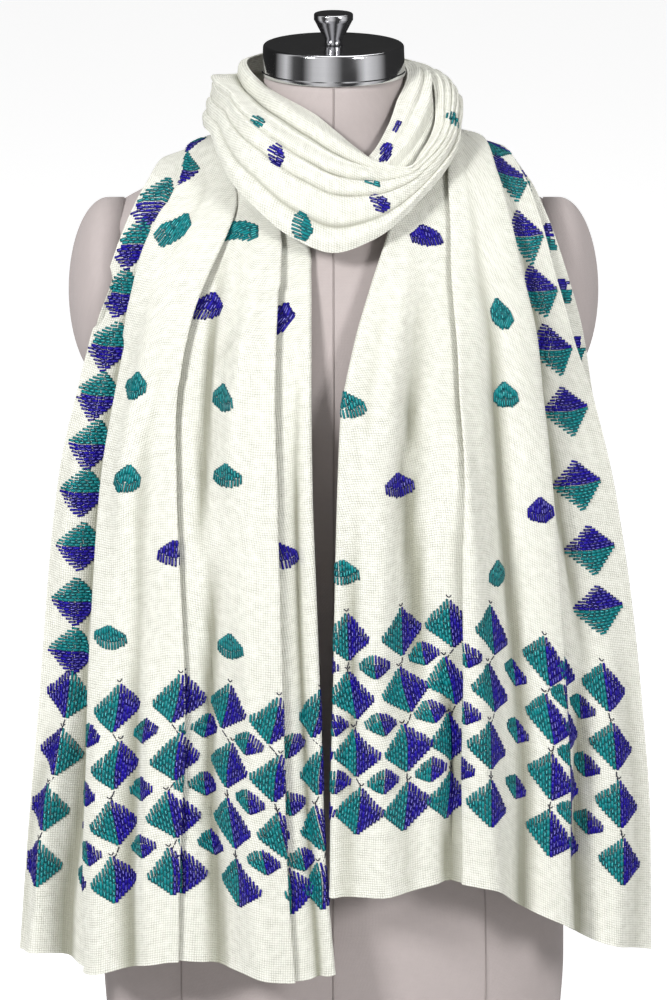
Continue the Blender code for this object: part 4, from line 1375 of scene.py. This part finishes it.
@dataclass
class Fall:
    """One hanging end of the shawl, from its hem over the shoulder to the nape."""

    name: str
    side: int
    stations: Table
    hem: Table
    folds: tuple[KnifeFold, ...]
    creases: tuple[tuple[float, ...], ...]
    form: DressForm
    clearance: float = 0.0022
    layer_gap: float = 0.0060
    fold_advance: float = 0.0040
    fold_taper: float = 0.045
    hem_level: float = 0.100
    hem_ease_height: float = 0.555
    hem_roll: float = 0.0045
    hem_extra: float = 0.0009
    row_step: float = 0.0050
    base_steps: int = 110
    span_steps: int = 16
    fold_steps: int = 23
    turn_steps: int = 9
    under_steps: int = 60
    deepest: float = 0.0120
    bust_depth: float = 0.0050
    bust_from: float = 0.33
    bust_over: float = 0.08
    press_from: float = 0.0035
    turn_fade: float = 0.012
    crease_wander: float = 0.008
    wander_turns: float = 9.0
    wander_phase: float = 20.0
    crease_start: float = 3.0
    crease_end: float = 2.2

    def end(self, side: str, run: float) -> np.ndarray:
        """A row's outer or inner end."""
        return np.array([self.stations.at(f"{side}_{axis}", run) for axis in "xyz"])

    def base_line(self, run: float) -> np.ndarray:
        """A row's own line from its outer to its inner end, before it clears the form."""
        share = np.linspace(0.0, 1.0, self.base_steps)
        outer, inner = self.end("outer", run), self.end("inner", run)
        points = outer + (inner - outer) * share[:, None]
        points[:, 1] -= self.stations.at("bow", run) * np.sin(np.pi * share)
        hem_height = self.hem.at("height", share)
        reach = self.hem_ease_height - self.hem_level
        left_over = np.clip((self.hem_ease_height - points[:, 2]) / reach, 0, 1)
        points[:, 2] += (hem_height - self.hem_level) * left_over
        return points

    def crease_rise(self, run: float, share: np.ndarray) -> np.ndarray:
        """How far the soft ridges and troughs lift the cloth at one height."""
        rise = np.zeros_like(share)
        for run_from, share_from, width_from, run_to, share_to, width_to, height in self.creases:
            along = (run - run_from) / (run_to - run_from)
            if not 0.0 < along < 1.0:
                continue
            place = share_from + (share_to - share_from) * along
            wave = math.sin(self.wander_turns * along + self.wander_phase * share_from)
            place += self.crease_wander * wave
            width = width_from + (width_to - width_from) * along
            start = 1.0 if run_from < 0 else float(ease(self.crease_start * along))
            strength = height * start * float(ease(self.crease_end * (1 - along)))
            rise += strength * np.exp(-(((share - place) / width) ** 2))
        over_bust = float(ease((run - self.bust_from) / self.bust_over))
        return np.maximum(rise, (self.deepest - self.bust_depth) * over_bust - self.deepest)

    def fold_sections(
        self, run: float, length: float, start: float
    ) -> tuple[list[np.ndarray], list[np.ndarray], float, float]:
        """Places along the row and rises of the front layer up to its last fold."""
        places, rises = [], []
        previous, lift_from, skipped = start, 0.0, 0
        for fold in self.folds:
            edge = length * fold.table.at("share", run)
            overlap = fold.table.at("overlap", run)
            rise = fold.table.at("rise", run)
            swing = (overlap + self.fold_advance / 2) / 2
            quarter = 0.25 if fold.outer_on_top else 0.75
            side = 1.0 if fold.outer_on_top else -1.0
            first = edge - quarter * self.fold_advance - side * swing
            span = np.linspace(previous, first, self.span_steps + 1)[skipped:-1]
            lift = lift_from * (1 - ease((span - previous) / self.fold_taper))
            if fold.outer_on_top:
                lift = np.maximum(lift, rise * (1 - ease((first - span) / self.fold_taper)))
            along = np.linspace(0.0, 1.0, self.fold_steps)
            turn = first + self.fold_advance * along + swing * np.sin(2 * np.pi * along)
            level = rise * (1 - ease(along)) if fold.outer_on_top else rise * ease(along)
            places += [span, turn]
            rises += [lift, level]
            previous, skipped = first + self.fold_advance, 1
            lift_from = 0.0 if fold.outer_on_top else rise
        return places, rises, previous, lift_from

    def row_plan(self, run: float, length: float) -> tuple[np.ndarray, np.ndarray]:
        """Place along the base line and distance out from it, for one whole row."""
        layers = self.stations.at("layers", run)
        gap = self.layer_gap * layers
        start = self.stations.at("front", run) * length
        places, rises, last, lift_from = self.fold_sections(run, length, start)
        turn_at = length - gap / 2
        span = np.linspace(last, turn_at, self.span_steps + 1)[1:-1]
        places.append(span)
        rises.append(lift_from * (1 - ease((span - last) / self.fold_taper)))
        front_places = np.concatenate(places)
        front_rises = np.concatenate(rises) * layers + gap
        fade = ease((turn_at - front_places) / self.turn_fade)
        front_rises += self.crease_rise(run, front_places / length) * layers * fade
        angle = np.linspace(0.0, np.pi, self.turn_steps)
        turn_places = turn_at + gap / 2 * np.sin(angle)
        turn_rises = gap / 2 * (1 + np.cos(angle))
        under_end = self.stations.at("under", run) * length
        under_places = np.linspace(turn_at, under_end, self.under_steps)[1:]
        pressed = self.crease_rise(run, under_places / length) * layers
        pressed = np.minimum(0.0, pressed + self.press_from)
        pressed *= ease((turn_at - under_places) / self.turn_fade)
        place = np.concatenate([front_places, turn_places, under_places])
        rise = np.concatenate([front_rises, turn_rises, pressed])
        return place, rise

    def grid(self) -> np.ndarray:
        """Points of the cloth's middle, rows up from the hem and columns in from the edge."""
        last = self.stations.rows[-1][0]
        runs = np.linspace(0.0, last, 1 + round(last / self.row_step))
        lines = np.stack([self.base_line(run) for run in runs])
        lines = self.form.pushed_clear(lines, self.clearance)
        normals = grid_normals(lines) * -self.side
        reaches = lengths_along(lines, 1)
        rows = []
        for run, reach, line, normal in zip(runs, reaches, lines, normals):
            place, rise = self.row_plan(run, reach[-1])
            out = unit(along_line(place, reach, normal))
            rows.append(along_line(place, reach, line) + out * rise[:, None])
        return np.stack(rows)

    def build(self, finishes: Finishes) -> PatternSheet:
        """Builds the cloth and returns its surface, for the embroidery."""
        grid = self.grid()
        up = lengths_along(grid, 0)
        round_hem = self.hem_extra * np.sqrt(np.maximum(0.0, 1 - (up / self.hem_roll - 0.5) ** 2))
        thickness = CLOTH_THICKNESS + np.where(up < self.hem_roll, round_hem, 0.0)
        places = np.stack([lengths_along(grid, 1), up], axis=-1)
        made = cloth_shell(
            f"shawl_{self.name}", grid, thickness, finishes.cotton, places, -self.side,
        )
        finish_piece(made, "shawl_cloth", self.name)
        return PatternSheet(grid)


@dataclass
class LoopBand:
    """A band of the loop round the neck."""

    name: str
    ring: Table
    ridges: tuple[tuple[float, ...], ...]
    creases: tuple[tuple[float, ...], ...]
    first: float
    last: float
    steps: int
    degrees_per_step: float = 1.5
    ridge_wander: float = 0.008
    wander_waves: float = 3
    wander_phase: float = 40

    def around(self, turned: float, values: tuple[float, ...]) -> float:
        """Blend of four values given at the left, the throat, the right and the nape."""
        facing = (-math.sin(turned), math.cos(turned), math.sin(turned), -math.cos(turned))
        return sum(max(0.0, way) ** 2 * value for way, value in zip(facing, values))

    def grid(self) -> np.ndarray:
        """Points of the cloth's middle, one row for each angle, from upper to lower edge."""
        share = np.linspace(0.0, 1.0, self.steps)
        count = 1 + round((self.last - self.first) / self.degrees_per_step)
        rows = []
        for angle in np.linspace(self.first, self.last, count):
            wrapped = angle - 360 if angle > 180 else angle
            turned = math.radians(wrapped)
            upper, lower = (
                np.array([self.ring.at(f"{edge}_{part}", wrapped) for part in ("radius", "z")])
                for edge in ("upper", "lower")
            )
            out = unit(np.array([upper[1] - lower[1], lower[0] - upper[0]]))
            rise = self.ring.at("bulge", wrapped) * np.sin(np.pi * share)
            for width, *values in self.ridges + self.creases:
                wave = math.sin(self.wander_waves * turned + self.wander_phase * width)
                place = self.around(turned, values[:4]) + self.ridge_wander * wave
                height = self.around(turned, values[4:])
                rise = rise + height * np.exp(-(((share - place) / width) ** 2))
            profile = upper + (lower - upper) * share[:, None] + out * rise[:, None]
            rows.append(np.stack([
                profile[:, 0] * math.sin(turned), -profile[:, 0] * math.cos(turned), profile[:, 1],
            ], axis=-1))
        return np.stack(rows)

    def build(self, finishes: Finishes) -> PatternSheet:
        """Builds the band and returns its surface, for the embroidery."""
        grid = self.grid()
        across = lengths_along(grid, 1)
        along = lengths_along(grid, 0)
        places = np.stack([across, along.mean(axis=1, keepdims=True) + 0 * across], axis=-1)
        facing = np.sign((grid_normals(grid) * grid)[..., :2].sum())
        made = cloth_shell(
            f"shawl_{self.name}", grid, CLOTH_THICKNESS, finishes.cotton, places, facing,
        )
        finish_piece(made, "shawl_cloth", self.name)
        return PatternSheet(grid, even_rows=True)


@dataclass
class Phulkari:
    """The layout of one fall's motifs, in metres in from the outer edge and up from the hem.

    The columns keep the pitch of the pattern where the cloth is hidden. Where it shows, their
    places are given at each row from the lowest up, as the folds take up some cloth.
    """

    columns: tuple[tuple[float, ...], ...]
    butis: tuple[tuple[float, float, str], ...]
    border: Table
    upper: str
    lower: str
    mirrored_edge: bool
    border_shape: MotifShape = BORDER
    far_inset: float = 0.0240
    pitch: float = 0.0395
    count: int = 14
    rows: int = 4
    row_pitch: float = 0.0456
    first_row: float = 0.0685
    mark_gap: float = 0.0016
    small_lift: float = 0.001
    least_room: float = 0.75

    def column(self, index: int, up: float) -> float:
        """Distance of a column from the outer edge at a height above the hem."""
        places = self.columns[min(index, len(self.columns) - 1)]
        beyond = max(0, index - len(self.columns) + 1) * self.pitch
        heights = self.first_row + self.row_pitch * np.arange(self.rows)
        return float(np.interp(up, heights, places)) + beyond

    def lay_field(self, work: Embroidery) -> None:
        """Lays the band of large and small diamonds above the hem."""
        for index in range(self.count):
            mirrored = self.mirrored_edge and index == 0
            first, second = ("blue", "teal") if mirrored else ("teal", "blue")
            for row in range(self.rows):
                up = self.first_row + self.row_pitch * row
                across = self.column(index, up)
                work.lay(Motif(LARGE, across, up, Teeth.UP, first, second))
                work.mark(across, up + LARGE.toothed + LARGE.shoulder + self.mark_gap)
                if row + 1 == self.rows:
                    continue
                above = self.column(index, up + self.row_pitch)
                work.carry(across, above, up + LARGE.toothed, up + self.row_pitch - LARGE.smooth)
                half = up + 0.5 * self.row_pitch + self.small_lift
                near, far = self.column(index, half), self.column(index + 1, half)
                if far - near > self.least_room * self.pitch and not mirrored:
                    work.lay(Motif(SMALL, (near + far) / 2, half, Teeth.UP, "teal", "blue"))

    def lay_butis(self, work: Embroidery) -> None:
        """Lays the scattered single-colour motifs."""
        for up, across, colour in self.butis:
            work.lay(Motif(BUTI, across, up, Teeth.DOWN, colour, colour, level=True))

    def lay_border(self, work: Embroidery) -> None:
        """Lays the diamonds down both long edges."""
        for row in self.border.rows:
            up = row[0]
            far = float(work.sheet.width(up)) - self.far_inset
            for across in (float(self.border.at("inset", up)), far):
                work.lay(Motif(
                    self.border_shape, across, up, Teeth.SIDE, self.lower, self.upper, level=True,
                ))

    def lay(self, work: Embroidery) -> None:
        """Lays every motif."""
        self.lay_field(work)
        self.lay_butis(work)
        self.lay_border(work)


BORDER_COLUMNS = ("up", "inset")
LEFT_LAYOUT = Phulkari(
    columns=(
        (0.0165, 0.0195, 0.0255, 0.0270), (0.0760, 0.0790, 0.0790, 0.0770),
        (0.1215, 0.1290, 0.1335, 0.1260), (0.1740, 0.1815, 0.1890, 0.1800),
        (0.2110, 0.2140, 0.2170, 0.2120), (0.2660, 0.2670, 0.2680, 0.2565),
        (0.3240, 0.3120, 0.3105, 0.3000), (0.3525, 0.3600, 0.3645, 0.3540),
        (0.3930, 0.4000, 0.4040, 0.3940),
    ),
    butis=(
        (0.2670, 0.1200, "teal"), (0.2595, 0.2580, "teal"), (0.3885, 0.1320, "teal"),
        (0.3945, 0.2640, "teal"), (0.4605, 0.1200, "teal"), (0.4530, 0.2565, "teal"),
        (0.5865, 0.0900, "teal"), (0.5805, 0.2040, "teal"), (0.3240, 0.1785, "blue"),
        (0.3375, 0.3345, "blue"), (0.5145, 0.2280, "blue"), (0.5175, 0.3360, "blue"),
        (0.2650, 0.3950, "teal"), (0.3900, 0.3950, "teal"), (0.4550, 0.3950, "teal"),
        (0.3300, 0.4500, "blue"), (0.2650, 0.5000, "teal"), (0.3900, 0.5000, "teal"),
    ),
    border=Table(BORDER_COLUMNS, (
        (0.2430, 0.0300), (0.2820, 0.0300), (0.3255, 0.0315), (0.3675, 0.0285), (0.4050, 0.0285),
        (0.4425, 0.0225), (0.4815, 0.0210), (0.5235, 0.0165), (0.5625, 0.0175), (0.6000, 0.0195),
        (0.6440, 0.0540), (0.6860, 0.0480), (0.7270, 0.0300), (0.7680, 0.0240),
    )),
    upper="teal",
    lower="blue",
    mirrored_edge=True,
)
RIGHT_LAYOUT = Phulkari(
    columns=(
        (0.0310, 0.0330, 0.0350, 0.0370), (0.0880, 0.0880, 0.0870, 0.0850),
        (0.1245, 0.1240, 0.1210, 0.1150), (0.1920, 0.1920, 0.1845, 0.1740),
        (0.2440, 0.2440, 0.2340, 0.2250), (0.2805, 0.2820, 0.2730, 0.2685),
        (0.3200, 0.3250, 0.3195, 0.3180), (0.3600, 0.3650, 0.3600, 0.3600),
    ),
    butis=(
        (0.2550, 0.1620, "teal"), (0.2580, 0.3195, "teal"), (0.4020, 0.1365, "teal"),
        (0.3870, 0.2985, "teal"), (0.4665, 0.1245, "teal"), (0.3210, 0.2655, "blue"),
        (0.3255, 0.1125, "blue"), (0.5115, 0.1935, "blue"), (0.2580, 0.4300, "teal"),
        (0.3870, 0.4200, "teal"), (0.3240, 0.3750, "blue"), (0.3240, 0.4900, "blue"),
    ),
    border=Table(BORDER_COLUMNS, (
        (0.2670, 0.0300), (0.3135, 0.0300), (0.3630, 0.0330), (0.4215, 0.0285), (0.4710, 0.0255),
        (0.5175, 0.0225), (0.5595, 0.0210), (0.6135, 0.0180), (0.6570, 0.0220), (0.7000, 0.0240),
    )),
    upper="blue",
    lower="teal",
    mirrored_edge=False,
    border_shape=replace(BORDER, toothed=0.0265, smooth=0.0225),
    far_inset=0.0080,
    first_row=0.0650,
)
# Motifs on the loop and on its inner strand: angle round the neck, share from upper to lower
# edge, colour, and how many strands of each half the folds leave in sight
LOOP_BUTIS = (
    (-46.0, 0.405, "teal", 2), (-31.5, 0.545, "blue", 4), (-17.0, 0.900, "teal", 5),
    (12.0, 0.505, "teal", 1), (14.0, 0.730, "blue", 3), (70.0, 0.500, "teal", 4),
)
NAPE_BUTIS = (
    (140.0, 0.300, "teal", 5), (140.0, 0.780, "blue", 4), (175.0, 0.520, "teal", 5),
    (205.0, 0.250, "blue", 3), (212.0, 0.760, "teal", 5),
)
STRAND_BUTIS = ((35.0, 0.330, "blue", 3), (50.0, 0.200, "blue", 1))


@dataclass
class Shawl:
    """The whole shawl: its falls, its loop and its phulkari."""

    form: DressForm
    loop_seam_degrees: float = 0.06
    front_from: float = -128.0
    front_to: float = 118.0

    def build(self, finishes: Finishes) -> None:
        """Builds the cloth, then lays the embroidery on it."""
        falls = (
            ("fall_left", -1, LEFT_STATIONS, LEFT_HEM, LEFT_FOLDS, LEFT_CREASES),
            ("fall_right", 1, RIGHT_STATIONS, RIGHT_HEM, RIGHT_FOLDS, RIGHT_CREASES),
        )
        layouts = ((LEFT_LAYOUT, 11), (RIGHT_LAYOUT, 12))
        for (name, side, *tables), (layout, seed) in zip(falls, layouts):
            fall = Fall(name, side, *tables, self.form)
            work = Embroidery(fall.build(finishes), -side, seed)
            layout.lay(work)
            work.build(name, finishes)
        seam = self.loop_seam_degrees
        nape = (self.front_to + seam, 360.0 + self.front_from - seam)
        loop = (LOOP_RING, LOOP_RIDGES, LOOP_CREASES)
        strand = (STRAND_RING, STRAND_RIDGES, STRAND_CREASES)
        for band, butis, seed in (
            (LoopBand("loop_front", *loop, self.front_from, self.front_to, 110), LOOP_BUTIS, 13),
            (LoopBand("loop_nape", *loop, *nape, 110), NAPE_BUTIS, 14),
            (LoopBand("loop_inner", *strand, 8.0, 150.0, 40), STRAND_BUTIS, 15),
        ):
            work = Embroidery(band.build(finishes), -1, seed)
            for angle, share, colour, strands in butis:
                up = (angle - band.first) / (band.last - band.first) * work.sheet.tallest
                across = share * float(work.sheet.width(up))
                half_width = LOOP_BUTI.half_width * strands / LOOP_BUTI.strands
                shape = replace(LOOP_BUTI, half_width=half_width, strands=strands)
                work.lay(Motif(shape, across, up, Teeth.DOWN, colour, colour))
            work.build(band.name, finishes)


@dataclass
class Studio:
    """Pale floor, soft studio light and the camera."""

    target: Point = (0.0, -0.08, 0.4605)
    elevation_degrees: float = 13.5
    distance: float = 6.0
    focal_pixels: float = 7843.0
    picture_height: float = 1000.0
    sensor: float = 36.0
    floor_half: float = 9.0
    floor_grey: float = 0.62
    backdrop_glow: float = 0.70
    world_strength: float = 0.30
    mirror_strength: float = 1.1
    panels: tuple[Section, ...] = (
        (0.0, 0.03), (1.0, 0.03), (0.20, 0.02), (0.27, 0.85), (0.31, 0.10), (0.36, 0.04),
        (0.41, 0.75), (0.46, 0.90), (0.50, 0.55), (0.54, 0.07), (0.60, 0.05), (0.65, 0.95),
        (0.71, 0.60), (0.76, 0.04),
    )
    lights: tuple[tuple[str, Point, float, float], ...] = (
        ("key", (-2.2, -2.6, 2.5), 0.8, 140.0),
        ("fill", (2.4, -2.7, 1.7), 0.9, 78.0),
        ("top", (0.3, 0.9, 2.8), 1.4, 20.0),
    )

    def build(self) -> None:
        """Makes the floor, the surroundings, the lights and the camera."""
        self.build_floor()
        self.build_world()
        for name, place, size, power in self.lights:
            data = bpy.data.lights.new(name, "AREA")
            data.size = size
            data.energy = power
            self.aim(place_object(name, data), place)
        self.build_camera()

    def build_floor(self) -> None:
        """A wide pale floor, which mirror reflections pass through to the surroundings."""
        made, write, shader = Finish("pale floor", 0.9).start()
        write.feed(shader, {"Base Color": (self.floor_grey,) * 3})
        seen = write.add("ShaderNodeLightPath").outputs["Is Camera Ray"]
        glow = {"Strength": write.times(seen, self.backdrop_glow)}
        lit = {0: shader.outputs[0], 1: write.first("ShaderNodeEmission", glow)}
        write.mirror_switch(
            write.first("ShaderNodeAddShader", lit), write.first("ShaderNodeBsdfTransparent"),
            made.node_tree.nodes["Material Output"],
        )
        corners = [(x, y, 0.0) for x, y in ((-1, -1), (1, -1), (1, 1), (-1, 1))]
        floor = add_mesh("studio_floor", np.array(corners) * self.floor_half, [(0, 1, 2, 3)], made)

    def build_world(self) -> None:
        """Even pale light, with dark and bright upright panels for mirror reflections only."""
        world = bpy.data.worlds.new("studio")
        bpy.context.scene.world = world
        world.use_nodes = True
        write = NodeWriter(world.node_tree)
        pale = world.node_tree.nodes["Background"]
        write.feed(pale, {"Color": (1.0, 1.0, 1.0), "Strength": self.world_strength})
        x, y, _ = write.parts(write.add("ShaderNodeTexCoord").outputs["Generated"])
        turn = write.math("ARCTAN2", x, write.times(y, -1.0))
        turn = write.math("ADD", write.math("DIVIDE", turn, 2 * math.pi), 0.5)
        ramp = write.add("ShaderNodeValToRGB", {0: turn})
        stops = ramp.color_ramp.elements
        for index, (place, level) in enumerate(self.panels):
            stop = stops[index] if index < 2 else stops.new(place)
            stop.position = place
            stop.color = (level, level, level, 1.0)
        mirror = {"Color": ramp.outputs[0], "Strength": self.mirror_strength}
        write.mirror_switch(
            pale.outputs[0], write.first("ShaderNodeBackground", mirror),
            world.node_tree.nodes["World Output"],
        )

    def aim(self, thing: Object, place: Point) -> None:
        """Puts a light or the camera at a place, looking at the target."""
        look = Vector(self.target) - Vector(place)
        thing.location = place
        thing.rotation_mode = "QUATERNION"
        thing.rotation_quaternion = look.to_track_quat("-Z", "Y")

    def build_camera(self) -> None:
        """The camera at the photo's angle and frame."""
        data = bpy.data.cameras.new("camera")
        data.sensor_width = self.sensor
        data.sensor_fit = "AUTO"
        data.lens = self.focal_pixels * self.sensor / self.picture_height
        data.clip_end = 60.0
        camera = place_object("camera", data)
        tilt = math.radians(self.elevation_degrees)
        x, y, z = self.target
        back, up = self.distance * math.cos(tilt), self.distance * math.sin(tilt)
        self.aim(camera, (x, y - back, z + up))
        bpy.context.scene.camera = camera
        bpy.context.scene.view_settings.view_transform = "Standard"


def main() -> None:
    """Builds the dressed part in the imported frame."""
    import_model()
    finishes = Finishes()
    form = DressForm()
    Studio().build()
    form.build(finishes)
    Shawl(form).build(finishes)


if __name__ == "__main__":
    main()
